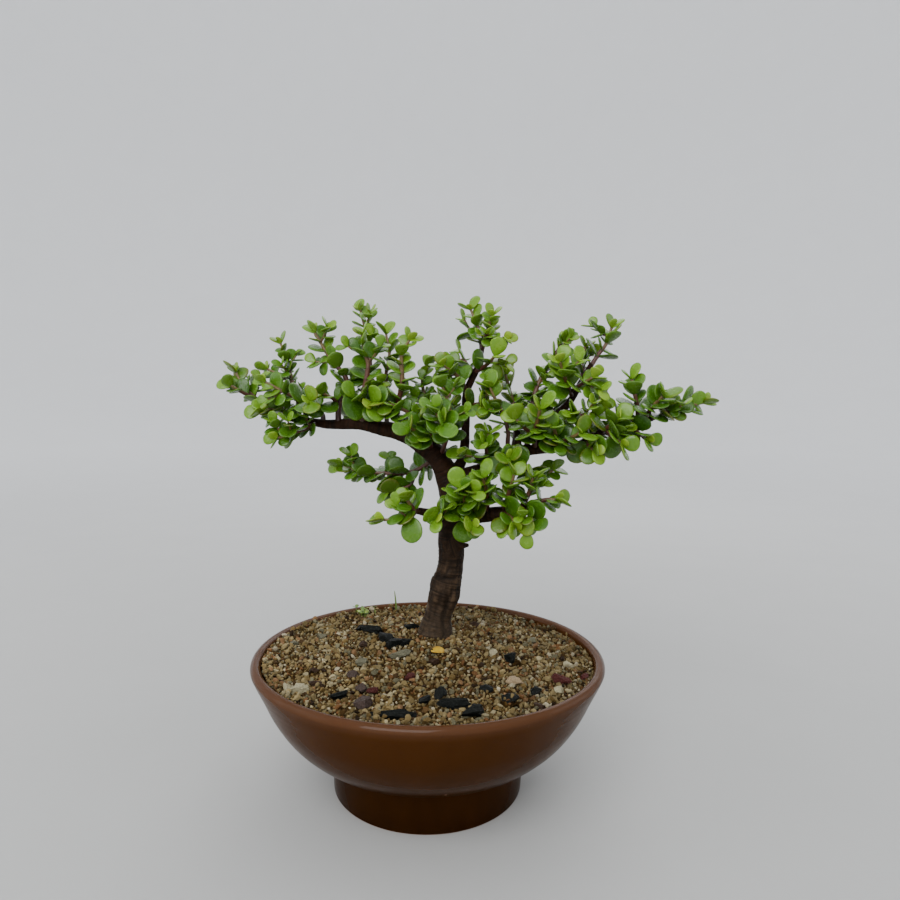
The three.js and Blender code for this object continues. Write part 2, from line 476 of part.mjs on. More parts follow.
// The leaves of one twig: pairs at even distances, each pair a quarter turn from the last, smaller and
// more upright towards the tip. A leaf carries every bend that it may take.
function leavesOf({ path, bare, spacing, leaf: size, turn }, draw) {
  const rows = runThrough(path);
  const lengths = lengthsOf(rows);
  const total = lengths.at(-1);
  const first = bare * total;
  const pairs = Math.max(1, Math.round((total - first) / spacing));
  const leaves = [];
  for (let p = 0; p <= pairs; p++) {
    const share = p / pairs;
    const { at, dir } = along(rows, lengths, first + (total - first) * share * LAST_PAIR);
    const sight = Math.abs(dir.y) > NEAR_SIGHT ? new THREE.Vector3(0, 0, 1) : new THREE.Vector3(0, 1, 0);
    const u = dir.clone().cross(sight).normalize();
    const v = dir.clone().cross(u);
    for (let s = 0; s < 2; s++) {
      const length = size * (LEAF.first - LEAF.taper * share) * (1 + LEAF.vary * (2 * draw() - 1));
      const rise = rad(LEAF.rise + LEAF.lift * share + LEAF.stray * (draw() - 0.5));
      const azimuth = turn + 90 * p + 180 * s + LEAF.swing * (2 * draw() - 1);
      const roll = rad(LEAF.roll * (2 * draw() - 1));
      leaves.push(LEAF_BENDS.map(([bend, shrink]) => {
        const angle = rad(azimuth + bend);
        const out = u.clone().multiplyScalar(Math.cos(angle)).addScaledVector(v, Math.sin(angle));
        const grown = out.clone().multiplyScalar(Math.cos(rise)).addScaledVector(dir, Math.sin(rise));
        const face = dir.clone().multiplyScalar(Math.cos(rise)).addScaledVector(out, -Math.sin(rise));
        const lit = LIGHT.clone().addScaledVector(grown, -LIGHT.dot(grown));
        const toLight = Math.atan2(lit.dot(grown.clone().cross(face)), lit.dot(face));
        face.applyAxisAngle(grown, LEAF.light * toLight + roll);
        return { base: at, dir: grown, face, length: length * shrink };
      }));
    }
  }
  return leaves;
}

// The leaf that has dropped on the soil.
function fallenLeaf(grow = 0) {
  const { x, y, length, turn, lift } = FALLEN_LEAF;
  const base = new THREE.Vector3(x, y, soilHeight(x, y) + lift);
  const dir = new THREE.Vector3(Math.cos(rad(turn)), Math.sin(rad(turn)), 0);
  return leaf({ base, dir, face: new THREE.Vector3(0, 0, 1), length }, grow);
}

function boxOf(solid) {
  const { min, max } = solid.boundingBox();
  return new THREE.Box3(new THREE.Vector3(...min), new THREE.Vector3(...max));
}

// Whether a solid keeps clear of all the others that don't belong to the same stem and pair.
function isClear(solid, owner, others) {
  const box = boxOf(solid);
  return others.every((other) => owner.startsWith(other.owner) || !box.intersectsBox(other.box)
    || solid.intersect(other.solid).isEmpty());
}

// ---- Assembly ----
function main() {
  const trunkRows = runThrough(TRUNK);
  const wood = (grow) => LIMBS.reduce(
    (sum, { path, sides, steps }) => sum.add(tube(runThrough(path), sides, steps, grow)),
    tube(trunkRows, TRUNK_SIDES, TRUNK_STEPS, grow, RIPPLE.size));
  const trunk = wood(0);
  const aroundTrunk = wood(GAP);

  const trunkHole = aroundTrunk.add(aroundTrunk.translate([0, 0, -GAP]));
  const hollows = [trunkHole, fallenLeaf(GAP), grassBlade(GAP), ...CHARCOAL.map((row) => lump(row, GAP))];
  const gritty = CHIPS.reduce((sum, row) => sum.add(lump(row)), soilBlock()).intersect(bowlInside());
  const soilFill = mainBody(hollows.reduce((sum, solid) => sum.subtract(solid), gritty));

  const taken = [{ owner: "trunk", solid: wood(LEAF_CLEAR) }];
  const stems = {};
  for (const [name, twigs] of Object.entries(STEMS)) {
    const joined = twigs.map(({ path }) => {
      const rows = runThrough(path);
      return tube(rows, STEM_SIDES, Math.max(2, Math.round(lengthsOf(rows).at(-1) / STEM_STEP)));
    }).reduce((sum, solid) => sum.add(solid));
    stems[name] = mainBody(joined.subtract(aroundTrunk));
    taken.push({ owner: name, solid: stems[name] });
  }
  for (const item of taken) item.box = boxOf(item.solid);

  const draw = drawer(LEAF.seed);
  for (const [name, twigs] of Object.entries(STEMS)) {
    twigs.flatMap((part) => leavesOf(part, draw)).forEach((bends, i) => {
      const owner = `${name} ${Math.floor(i / 2)}`;
      const bend = bends.find((candidate) => isClear(leaf(candidate, LEAF_CLEAR), owner, taken));
      if (!bend) return;
      const solid = leaf(bend);
      const leafier = stems[name].add(solid);
      if (leafier.decompose().length > 1) return;
      taken.push({ owner, solid, box: boxOf(solid) });
      stems[name] = leafier;
    });
  }

  const group = new THREE.Group();
  const add = (name, solid, [color, roughness]) => {
    const material = new THREE.MeshStandardMaterial({ color, roughness, metalness: 0 });
    const mesh = new THREE.Mesh(geometryOf(solid), material);
    mesh.name = name;
    group.add(mesh);
  };
  add("bowl", bowl(), FINISHES.glaze);
  add("soil", soilFill, FINISHES.soil);
  add("trunk", trunk, FINISHES.bark);
  for (const [name, solid] of Object.entries(stems)) add(name, solid, FINISHES.leaf);
  CHARCOAL.forEach((row, i) => add(`charcoal_${i + 1}`, lump(row), FINISHES.charcoal));
  add("fallen_leaf", fallenLeaf(), FINISHES.fallen);
  add("grass_blade", grassBlade(), FINISHES.grass);

  const middle = new THREE.Box3().setFromObject(group).getCenter(new THREE.Vector3());
  group.position.set(-middle.x, -middle.y, 0);
  return group;
}

const group = main();
export default group;
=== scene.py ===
import math
import random

import bpy
import numpy as np
from bpy.props import FloatProperty, FloatVectorProperty, IntProperty, PointerProperty
from mathutils import Matrix, Vector, noise
from mathutils.bvhtree import BVHTree
from mathutils.kdtree import KDTree


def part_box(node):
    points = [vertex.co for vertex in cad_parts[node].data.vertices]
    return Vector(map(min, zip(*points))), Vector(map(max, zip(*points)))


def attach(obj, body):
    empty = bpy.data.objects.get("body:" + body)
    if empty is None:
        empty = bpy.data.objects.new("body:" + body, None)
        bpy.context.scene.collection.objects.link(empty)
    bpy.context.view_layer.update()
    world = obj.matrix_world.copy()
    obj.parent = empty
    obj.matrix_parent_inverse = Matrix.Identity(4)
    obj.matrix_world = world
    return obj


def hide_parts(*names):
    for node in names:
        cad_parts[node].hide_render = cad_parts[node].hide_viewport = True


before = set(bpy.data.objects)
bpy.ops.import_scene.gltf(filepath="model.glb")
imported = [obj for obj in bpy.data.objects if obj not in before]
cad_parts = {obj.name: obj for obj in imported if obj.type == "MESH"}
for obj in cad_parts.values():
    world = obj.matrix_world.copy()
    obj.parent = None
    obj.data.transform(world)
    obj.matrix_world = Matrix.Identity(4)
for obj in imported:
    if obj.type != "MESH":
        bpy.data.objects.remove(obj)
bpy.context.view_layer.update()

bl_info = {
    "name": "Jade Bonsai",
    "version": (1, 0, 0),
    "blender": (4, 5, 0),
    "location": "View3D > Sidebar > Jade Bonsai",
    "description": "A dwarf jade bonsai in a glazed bowl: bowl, grit, trunk, leafy stems and a plain stage",
    "category": "Object",
}

# ---- Shared places: the tree is drawn in millimetres about the bowl's axis, with +Z up ----
MM = 0.001
BOWL_LOW, BOWL_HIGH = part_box("bowl")
AXIS = Vector(((BOWL_LOW.x + BOWL_HIGH.x) / 2, (BOWL_LOW.y + BOWL_HIGH.y) / 2, 0))
RIM = max(BOWL_HIGH.x - BOWL_LOW.x, BOWL_HIGH.y - BOWL_LOW.y) / 2 / MM  # radius of the bowl's rim
TALL = BOWL_HIGH.z / MM  # height of the bowl
WALL = 8  # thickness of the bowl's wall
FOOT = 77  # radius of the bowl's foot
UP = Vector((0, 0, 1))

# A branch point is [across, up, depth, radius]: across and up are read in a front elevation seen from EYE,
# and depth moves the point along its line of sight.
EYE = Vector((18, -546, 304))
ELEVATION = Vector((-2.5, 25, 0))


def clamp(value):
    return max(0, min(1, value))


def bell(away, width):
    """1 in the middle, and less the further away; half way down at about 0.8 of the width."""
    return np.exp(-((away / width) ** 2))


def drawer(seed):
    """A seeded draw between 0 and 1, the same as the one that shaped the frame's leaves."""
    state = seed
    step = 0x6D2B79F5
    mask = 0xFFFFFFFF

    def draw():
        nonlocal state
        state = (state + step) & mask
        t = ((state ^ (state >> 15)) * (1 | state)) & mask
        t = ((t + (((t ^ (t >> 7)) * (61 | t)) & mask)) & mask) ^ t
        return ((t ^ (t >> 14)) & mask) / (mask + 1)

    return draw


def stray(most, rng):
    return rng.uniform(-most, most)


def placed(point):
    """A branch point moved from the front elevation along its line of sight to its own depth."""
    across, up, depth, radius = point
    share = (depth - EYE.y) / (ELEVATION.y - EYE.y)
    return (ELEVATION.x + EYE.x + (across - EYE.x) * share, depth, EYE.z + (up - EYE.z) * share, radius)


def curve_through(points, stretches):
    """A smooth run of rows through points (a uniform Catmull-Rom curve)."""
    points = np.asarray(points, float)
    padded = np.vstack([2 * points[0] - points[1], points, 2 * points[-1] - points[-2]])
    rows = [points[0]]
    for before, start, end, after in zip(padded, padded[1:], padded[2:], padded[3:]):
        leave = (end - before) / 2
        arrive = (after - start) / 2
        cubic = 2 * start - 2 * end + leave + arrive
        square = -3 * start + 3 * end - 2 * leave - arrive
        for t in np.arange(1, stretches + 1) / stretches:
            rows.append(((cubic * t + square) * t + leave) * t + start)
    return np.array(rows)


def through(path):
    """Rows of [x, y, z, radius] through branch points."""
    return curve_through([placed(point) for point in path], 6)


class Run:
    """A run of rows of [x, y, z, radius], measured along its length."""

    def __init__(self, rows):
        self.rows = np.asarray(rows, float)
        steps = np.linalg.norm(np.diff(self.rows[:, :3], axis=0), axis=1)
        self.lengths = np.concatenate([[0], np.cumsum(steps)])
        self.total = self.lengths[-1]

    def at(self, distance):
        """The place, direction and radius at a distance along the run."""
        i = min(max(int(np.searchsorted(self.lengths, distance)), 1), len(self.rows) - 1)
        share = (distance - self.lengths[i - 1]) / (self.lengths[i] - self.lengths[i - 1])
        before, after = self.rows[i - 1], self.rows[i]
        row = before + (after - before) * share
        return Vector(row[:3]), Vector(after[:3] - before[:3]).normalized(), float(row[3])


class Twig(Run):
    """One twig of a leafy stem: its path, the share of it that is bare, the distance between main pairs of
    leaves, the length of a leaf, and the turn of its first pair."""

    def __init__(self, path, bare, spacing, leaf, turn=0):
        super().__init__(through(path))
        self.leaf = leaf
        self.turn = turn
        self.first = bare * self.total
        self.pairs = max(1, math.floor((self.total - self.first) / spacing + 0.5))
        self.joints = np.linspace(self.first, self.total, 2 * self.pairs + 1)

    def leafy(self, share, end=1):
        """The place, direction and radius at a share of the leafy part, ended at this share of it."""
        return self.at(self.first + (self.total - self.first) * share * end)

    def knot(self, distance):
        """How near a place is to a joint: 1 is at the joint."""
        return float(bell(self.joints - distance, 1.1).sum())


TRUNK = [
    [5, 90, 25, 12], [6, 104, 25, 16], [7, 115, 25, 15], [9, 129, 25, 12], [12, 140, 25, 12.2],
    [15, 151, 24, 13.4], [17, 160, 24, 12.6], [19, 170, 24, 11.2], [20, 182, 24, 11], [20.5, 200, 24, 11.6],
    [22, 224, 25, 12], [20, 240, 25, 12], [16, 250, 26, 10.5], [12, 260, 27, 9.5], [6, 269, 28, 9],
    [-3, 276, 29, 8.8], [-12, 282.5, 30, 8.3], [-25, 288, 32, 7.4], [-40, 291, 34, 6.2], [-55, 294, 36, 5.4],
    [-70, 294.5, 38, 4.7], [-85, 294, 40, 4.2], [-97, 295.5, 42, 3.6], [-110, 298, 44, 3.2],
    [-122, 299, 46, 2.6],
]
# Each limb and dead stub, from where it leaves the wood.
LIMBS = [
    [[19, 240, 25, 8.5], [30, 250, 24, 7.6], [45, 257, 22, 6.3], [60, 266, 20, 5.4],
     [77, 273, 17, 4.8], [100, 275.5, 13, 4.2], [125, 278, 10, 3.7], [140, 287, 8, 3.2], [150, 291, 7, 3.1],
     [172, 298, 5, 3.2], [190, 302.5, 1, 2.6]],
    [[20, 248, 28, 6], [26, 260, 31, 5], [30, 272, 34, 4.3], [31, 300, 36, 3.7],
     [31, 320, 38, 3.3], [35, 332, 39, 3.2], [41, 345, 40, 2.9], [44, 359, 42, 2.4]],
    [[94, 276, 13, 4.3], [104, 298, 18, 3.9], [110, 306, 20, 3.5], [117, 313, 22, 3.3],
     [124, 324, 24, 3], [130, 335, 26, 2.7], [137, 348, 28, 2.3]],
    [[22, 216, 21, 8], [32, 215, 12, 7], [46, 218, 2, 6.4], [60, 219.5, -6, 5.8],
     [78, 223.5, -13, 4.4], [94, 230, -20, 2.8]],
    [[19, 218, 20, 5], [3, 219, 12, 4], [-10, 221, 6, 3]],
    [[76, 272, 18, 3.6], [75.5, 282, 19, 3.1], [75, 291, 20, 2.6]],
    [[22, 191, 22, 4], [29, 191.5, 16, 3], [35, 192, 12, 1.6]],
]
WOOD = [Run(through(path)) for path in (TRUNK, *LIMBS)]
# The step between places along the wood, the radius that counts as thick, and the heights of old bark.
BARK = {"step": 1.5, "thick": 11, "foot": 104, "top": 245}
TRUNK_FOOT = Vector((4.5, 25, 0))
TRUNK_SEAM = {"turn": -1.15, "top": 160}  # a crack up the front: its angle in radians, and where it ends
TRUNK_RING = 166  # height of the deepest ring
TRUNK_KNOB = Vector((4, 22, 161))

STEMS = {
    # left of the trunk
    "far_left": [
        Twig([[-116, 299, 45, 2.4], [-135, 307, 49, 2.2], [-148, 316, 52, 1.9], [-157, 325, 54, 1.5],
              [-164, 337, 55, 1.1]], 0.2, 16, 18),
        Twig([[-148, 316, 52, 1.7], [-158, 320, 44, 1.5], [-168, 326, 38, 1.1]], 0.3, 14, 16, 40)],
    "far_left_low": [
        Twig([[-95, 295.5, 41.5, 2], [-101, 292, 34, 1.9], [-111, 288, 27, 1.6], [-121, 284, 20, 1.3],
              [-129, 282, 16, 1.1]], 0.22, 14, 16.5, 60)],
    "left_fork_high": [
        Twig([[-90, 295, 41, 2.4], [-91, 303, 48, 2.2], [-101, 313, 56, 2], [-112, 318, 61, 1.8],
              [-116, 330, 65, 1.7], [-121, 348, 68, 1.4], [-126, 362, 69, 1]], 0.25, 16, 15),
        Twig([[-115, 328, 64, 1.5], [-126, 335, 70, 1.3], [-137, 340, 75, 1.1]], 0.35, 14, 15)],
    "left_fork_low": [
        Twig([[-103, 297, 43, 2.1], [-107, 307, 33, 1.9], [-114, 316, 27, 1.6], [-125, 322, 23, 1.4],
              [-139, 329, 20, 1.1]], 0.25, 14.5, 16.5, 20),
        Twig([[-107, 307, 33, 1.6], [-104, 312, 24, 1.5], [-102, 314, 15, 1.2]], 0.4, 13.5, 19)],
    "left_outer": [
        Twig([[-112, 298.3, 44.3, 1.9], [-127, 303, 38, 1.7], [-134, 306, 31, 1.4], [-142, 305, 26, 1.1]],
              0.3, 14, 18.5, 80)],
    "left_tall": [
        Twig([[-77, 294, 38.6, 2.8], [-77, 306, 37, 2.6], [-75, 315, 36, 2.3], [-70, 331, 34, 2.1],
              [-78, 343, 33, 1.8], [-86, 353, 32, 1.6], [-97, 371, 32, 1.1]], 0.4, 16.5, 16.5, 20),
        Twig([[-76, 310, 36.5, 1.6], [-82, 316, 28, 1.4], [-90, 320, 22, 1.1]], 0.3, 13.5, 16.5, 50),
        Twig([[-75, 314, 36, 1.6], [-68, 315, 29, 1.4], [-63, 313, 22, 1.1]], 0.35, 14, 16.5, 20)],
    "left_inner": [
        Twig([[-55, 293.5, 36, 2.8], [-58, 306, 30, 2.6], [-56, 320, 26, 2.4], [-52, 343, 22, 2],
              [-55, 356, 20, 1.5], [-57, 370, 19, 1.1]], 0.3, 16, 17, 60),
        Twig([[-57, 313, 28, 1.6], [-52, 314, 20, 1.4], [-49, 313, 12, 1.2]], 0.6, 14.5, 24, 10)],
    "left_tallest": [
        Twig([[-46, 292, 35, 2.2], [-46, 308, 46, 2.1], [-49, 332, 54, 1.9], [-51, 355, 58, 1.6],
              [-54, 372, 60, 1.3], [-59, 390.5, 61, 1]], 0.3, 17, 14.5, 10)],
    "left_middle": [
        Twig([[-36, 290, 34, 2.2], [-36, 310, 45, 2], [-37, 335, 50, 1.6], [-34, 355, 52, 1.3],
              [-37, 371, 53, 1]], 0.25, 16, 16, 50)],
    "left_near_trunk": [
        Twig([[-27, 288.5, 32.5, 2.7], [-27, 302, 24, 2.5], [-26, 315, 18, 2.3], [-23, 330, 14, 2.1],
              [-24, 346, 12, 1.8], [-23, 356, 11, 1.4], [-17, 366, 10, 1.1]], 0.3, 14.5, 17, 10)],
    "left_dark": [
        Twig([[-9, 280.5, 29.5, 2], [-12, 293, 20, 1.8], [-17, 304, 13, 1.6], [-27, 309, 9, 1.4],
              [-38, 313, 6, 1.1]], 0.45, 16.5, 17, 30)],
    "over_trunk": [
        Twig([[-2, 275.5, 29, 2.1], [0, 295, 36, 1.9], [-3, 315, 40, 1.7], [-6, 330, 42, 1.4],
              [-2, 343, 43, 1.1]], 0.3, 14.5, 16, 20)],
    "front_bright": [
        Twig([[2, 272, 28, 2.9], [0, 282, 12, 2.7], [3, 291, -4, 2.2], [9, 295, -18, 1.7],
              [12, 296, -30, 1.2]], 0.45, 13.5, 20, 30),
        Twig([[0, 281, 13, 1.9], [-9, 287, 2, 1.7], [-16, 292, -10, 1.2]], 0.35, 13.5, 18.5, 70)],
    "front_high": [
        Twig([[9, 265.5, 27.5, 2.2], [15, 283, 12, 2], [18, 300, 2, 1.7], [16, 314, -3, 1.4],
              [11, 327, -5, 1.1]], 0.35, 14.5, 17, 10)],
    # the middle
    "top": [
        Twig([[43.6, 357, 41.6, 2], [43, 365, 43, 1.8], [40, 378, 45, 1.5], [34, 392, 46, 1]], 0.2, 14, 15),
        Twig([[42, 370, 44, 1.4], [34, 375, 52, 1.2], [29, 383, 57, 1]], 0.3, 14, 14.5, 20),
        Twig([[43.6, 356.5, 41.6, 1.9], [46.5, 366, 36, 1.7], [49, 377, 31, 1.4], [52, 387, 28, 1]], 0.35, 14,
              15),
        Twig([[46.5, 366, 36, 1.3], [54, 367.5, 30, 1.2], [63, 368, 25, 1]], 0.3, 14.5, 15, 10)],
    "centre_pair": [
        Twig([[38, 339, 39.6, 2], [47, 345, 30, 1.7], [55, 353, 21, 1.1]], 0.3, 13.5, 18, 20),
        Twig([[38, 339, 39.6, 1.8], [31, 347, 50, 1.5], [26, 356, 57, 1.1]], 0.35, 13.5, 16.5, 50)],
    "centre_left": [
        Twig([[31, 324, 38.4, 2], [27, 332, 32, 1.8], [20, 339, 26, 1.5], [12, 345, 22, 1.1]], 0.3, 13.5,
              16.5, 30)],
    "centre_low": [
        Twig([[31, 309, 37, 2], [38, 312, 28, 1.7], [43, 313, 19, 1.4], [44, 312, 11, 1.1]], 0.35, 14, 17,
              10)],
    "centre_back": [
        Twig([[31, 293, 35.6, 2.2], [24, 301, 48, 1.9], [15, 309, 60, 1.6], [8, 319, 70, 1.2]], 0.3, 14.5, 17,
              40)],
    "middle_front": [
        Twig([[46, 257.5, 21.8, 2], [49, 267, 12, 1.8], [49, 277, 5, 1.5], [51, 288, 0, 1.1]], 0.3, 14, 16,
              20),
        Twig([[48, 264, 15, 1.5], [38, 267, 6, 1.3], [30, 269, 0, 1.1]], 0.35, 14.5, 16, 10)],
    "middle_red": [
        Twig([[67, 269, 18.8, 2.2], [67, 281, 13, 2], [67, 290, 10, 1.8], [63, 304, 7, 1.6],
              [56, 317, 5, 1.3], [51, 327, 4, 1]], 0.45, 16, 16)],
    "middle_low": [
        Twig([[64, 267.5, 19.2, 2.2], [65, 266, 8, 1.8], [67, 266, -2, 1.4], [69, 267, -12, 1.1]], 0.35, 13.5,
              19, 20)],
    # right of the trunk
    "right_tall": [
        Twig([[83, 273.5, 16, 2.6], [85, 294, 25, 2.4], [88, 314, 29, 2.2], [92, 330, 31, 1.9],
              [100, 345, 31, 1.6], [112, 366, 31, 1.1]], 0.3, 14.5, 16, 10)],
    "right_inner": [
        Twig([[71, 270.5, 18.2, 2.2], [74, 295, 36, 2], [71, 313, 44, 1.7], [67, 328, 48, 1.4],
              [64, 338, 50, 1.1]], 0.32, 14.5, 17, 40)],
    "right_front": [
        Twig([[90, 274.5, 15, 2.4], [90, 287, 3, 2.1], [92, 299, -6, 1.7], [94, 309, -12, 1.2]], 0.3, 14, 19,
              20),
        Twig([[90, 285, 5, 1.7], [81, 293, -2, 1.5], [74, 300, -6, 1.1]], 0.3, 14, 18, 50)],
    "right_top": [
        Twig([[134, 342, 27, 2.1], [142, 355, 30, 1.8], [149, 365, 31, 1.5], [153, 378, 32, 1.1]], 0.35, 14,
              17)],
    "right_mass": [
        Twig([[121, 319.5, 23, 2], [117, 329, 12, 1.7], [113, 340, 4, 1.4], [110, 349, 0, 1.1]], 0.3, 14,
              18.5, 20),
        Twig([[119, 324, 18, 1.6], [128, 330, 9, 1.4], [138, 336, 3, 1.1]], 0.35, 14, 18, 60)],
    "right_small": [
        Twig([[128, 331, 25.4, 1.7], [130, 345, 36, 1.5], [131, 362, 42, 1]], 0.3, 14.5, 15, 20)],
    "right_node": [
        Twig([[108, 303.5, 19.6, 1.8], [103, 311, 29, 1.5], [100, 319, 36, 1.1]], 0.35, 13.5, 16.5, 10)],
    "right_thin": [
        Twig([[111, 307, 20.4, 1.6], [122, 307, 14, 1.4], [132, 303, 10, 1.3], [140, 302, 7, 1.2],
              [147, 309, 4, 1]], 0.25, 16, 16, 70)],
    "right_under": [
        Twig([[109, 276.2, 12, 2.2], [108, 285, 0, 1.9], [106, 293, -9, 1.3]], 0.3, 13.5, 18.5, 10),
        Twig([[109, 280, 6.5, 1.9], [119, 284, -3, 1.6], [128, 289, -10, 1.2]], 0.3, 13.5, 18.5, 60)],
    "right_mid": [
        Twig([[147, 289.7, 7.3, 2.2], [153, 295, -2, 1.9], [161, 300, -9, 1.3]], 0.3, 13.5, 19.5, 20),
        Twig([[150, 292, 3, 1.8], [156, 286, -4, 1.6], [163, 281, -10, 1.2]], 0.35, 13.5, 19, 60)],
    "right_mid_back": [
        Twig([[158, 294, 6.4, 2], [163, 301, 17, 1.7], [168, 309, 25, 1.2]], 0.3, 13.5, 18, 30)],
    "right_upright": [
        Twig([[177, 299.2, 4, 2], [176.5, 311, 1, 1.8], [174, 322, -1, 1.5], [171, 335, -2, 1]], 0.3, 16,
              16.5)],
    "right_end": [
        Twig([[187, 301.7, 1.8, 2.3], [200, 306, -3, 2], [215, 312, -7, 1.7], [232, 316, -9, 1.1]], 0.25, 14,
              18.5, 80)],
    "right_end_front": [
        Twig([[182, 300.4, 3, 2.1], [186, 307, -7, 1.8], [191, 314, -15, 1.5], [198, 321, -22, 1.2]], 0.35,
              13.5, 19, 20)],
    "right_end_low": [
        Twig([[170, 297.5, 5.2, 1.8], [176, 291, -2, 1.6], [184, 285, -7, 1.1]], 0.35, 13.5, 17, 40)],
    "right_hanging": [
        Twig([[134, 282.8, 9, 1.7], [136, 278, 1, 1.5], [140, 275, -6, 1.1]], 0.35, 13.5, 18, 20)],
    # the low limb in front
    "low_end": [
        Twig([[91, 228.7, -18.8, 1.9], [99, 231.5, -22, 1.6], [109, 232, -25, 1.1]], 0.3, 13.5, 17, 30)],
    "low_first": [
        Twig([[34, 215.3, 10.5, 2.5], [33, 226, -5, 2.2], [30, 235, -16, 1.8], [28, 241, -25, 1.2]], 0.35, 12,
              19.5, 20),
        Twig([[33.5, 219, 3, 2], [36, 214, -9, 1.7], [38, 210, -19, 1.2]], 0.35, 12, 19, 60)],
    "low_second": [
        Twig([[50, 218.5, -0.5, 2.3], [50, 230, -12, 2], [49, 241, -20, 1.6], [46, 250, -26, 1.1]], 0.3, 13.5,
              18, 10)],
    "low_third": [
        Twig([[63, 220, -7.2, 2.3], [67, 231, -15, 2], [70, 242, -20, 1.6], [73, 253, -24, 1.1]], 0.3, 13.5,
              17, 30),
        Twig([[64, 223, -9.5, 1.8], [70, 217, -18, 1.6], [74, 211, -25, 1.2]], 0.3, 13.5, 19, 60)],
    "low_fourth": [
        Twig([[78, 223.5, -13, 2.2], [84, 233, -19, 1.9], [87, 242, -22, 1.5], [89, 251, -24, 1.1]], 0.3,
              13.5, 17),
        Twig([[80, 226.5, -15, 1.8], [87, 218, -23, 1.6], [89, 210, -28, 1.3], [86, 203, -31, 1.1]], 0.35,
              13.5, 17, 30)],
    "on_trunk": [
        Twig([[20, 217, 18, 2.4], [16, 218, 2, 2], [11, 217, -8, 1.6], [7, 215, -16, 1.2]], 0.55, 12, 19,
              20)],
    "right_red": [
        Twig([[80, 273.2, 16.5, 1.9], [82, 262, 26, 1.8], [86, 254, 31, 1.6], [95, 252, 33, 1.4],
              [106, 257, 34, 1.1]], 0.5, 14.5, 17, 30)],
    # low on the left
    "low_left": [
        Twig([[-7, 220.6, 7.2, 2.3], [-13, 223, 3, 2], [-18, 230, -2, 1.3]], 0.35, 13.5, 18.5, 10),
        Twig([[-10, 221.6, 5, 2], [-16, 215, 1, 1.8], [-26, 213, -1, 1.5], [-38, 213, -2, 1.1]], 0.25, 16,
              18)],
    "hanging_left": [
        Twig([[7, 267.5, 28, 2.3], [0, 262, 40, 2.1], [-10, 256, 47, 1.9], [-22, 253, 51, 1.7],
              [-38, 253, 54, 1.5], [-55, 254, 56, 1.3], [-74, 258, 57, 1]], 0.22, 16, 19, 30),
        Twig([[-12, 255.5, 47.6, 1.6], [-14, 245, 50, 1.5], [-22, 240, 52, 1.3], [-34, 239, 54, 1]], 0.35,
              14.5, 20, 20)],
    # behind the trunk and limbs
    "back_trunk": [
        Twig([[16, 250, 27, 3], [13, 261, 50, 2.7], [9, 273, 70, 2.2], [5, 291, 84, 1.7], [3, 307, 90, 1.2]],
              0.45, 14.5, 18, 20)],
    "back_left": [
        Twig([[-63, 294.3, 37, 2.1], [-67, 303, 56, 1.9], [-70, 312, 72, 1.5], [-72, 324, 82, 1.1]], 0.3,
              14.5, 17, 20)],
    "back_right": [
        Twig([[98, 275.4, 13.3, 2.1], [104, 282, 34, 1.9], [108, 294, 54, 1.6], [110, 308, 66, 1.1]], 0.35,
              14.5, 17, 20)],
    "back_far_right": [
        Twig([[129, 279.8, 9.6, 1.9], [136, 289, 28, 1.7], [142, 299, 44, 1.4], [146, 308, 54, 1.1]], 0.35,
              14.5, 17, 30)],
}

# How leaves grow: the main pairs, the pairs between them and the upright pair at a tip. "size" and "rise" are
# each a start and its change along the twig, but at a tip "rise" is a range. "vary", "tilt", "swing" and
# "roll" say how length, rise, turn and roll may stray. "light" is how far a leaf turns to the light.
LEAF = {"width": 0.86, "thick": 2.4, "size": (1.04, -0.22), "rise": (26, 26), "vary": 0.17, "tilt": 22,
        "swing": 16, "roll": 22, "light": 0.45, "seed": 21}
BETWEEN = {"size": (1.02, -0.22), "rise": (20, 30), "vary": (0.82, 1.12), "tilt": 12, "swing": 16, "roll": 25}
TIP = {"share": 1.25, "vary": (0.45, 0.62), "rise": (40, 56), "swing": 10}
# Short side shoots: the first place as a share of the bare part, the gap, the lengths, the length from which
# one has three pairs, its radius, the size of its leaves, and the fewest leaves that keep it.
SHOOT = {"first": 0.7, "gap": 8.5, "length": (8, 16), "long": 11, "radius": 1.1, "leaf": 0.8, "fewest": 3,
         "size": (1.08, -0.3), "rise": (18, 34), "vary": (0.85, 1.12), "tilt": 10, "swing": 20, "roll": 25}
YOUTH = {"oldest": 0.16, "along": 0.38, "tip": 0.3, "high": 0.14, "vary": 0.12}  # how young leaves look
LIGHT = Vector((0, -0.6, 0.8))  # leaves turn their upper faces partly this way
LEAF_SEEN = 0.8  # how far the added leaves turn to the light: 1 is all the way
LEAF_EDGE = [(0.36, 0.68), (0.8, 0.95)]  # half the solid leaf's outline: share of length, share of half width
LEAF_BELLY = 0.58  # where the solid leaf is thickest, as a share of its length
LEAF_BENDS = [(0, 1), (24, 1), (-24, 1), (48, 0.95), (-48, 0.95), (72, 0.9), (-72, 0.9), (0, 0.75),
              (36, 0.75), (-36, 0.75)]  # turns about the stem, and sizes, that a leaf tries in this order
LEAF_RINGS = 10
LEAF_SIDES = 14
LEAF_STALK = 0.6  # radius of the short stalk
LEAF_MATCH = 0.08  # a solid leaf's corner is found in its node within this distance
LEAVES_LEAST = 500  # with fewer leaves, or fewer points of the wood, something has gone wrong
WOOD_LEAST = 1000
LAST_PAIR = 0.995  # the last main pair stands just short of the tip

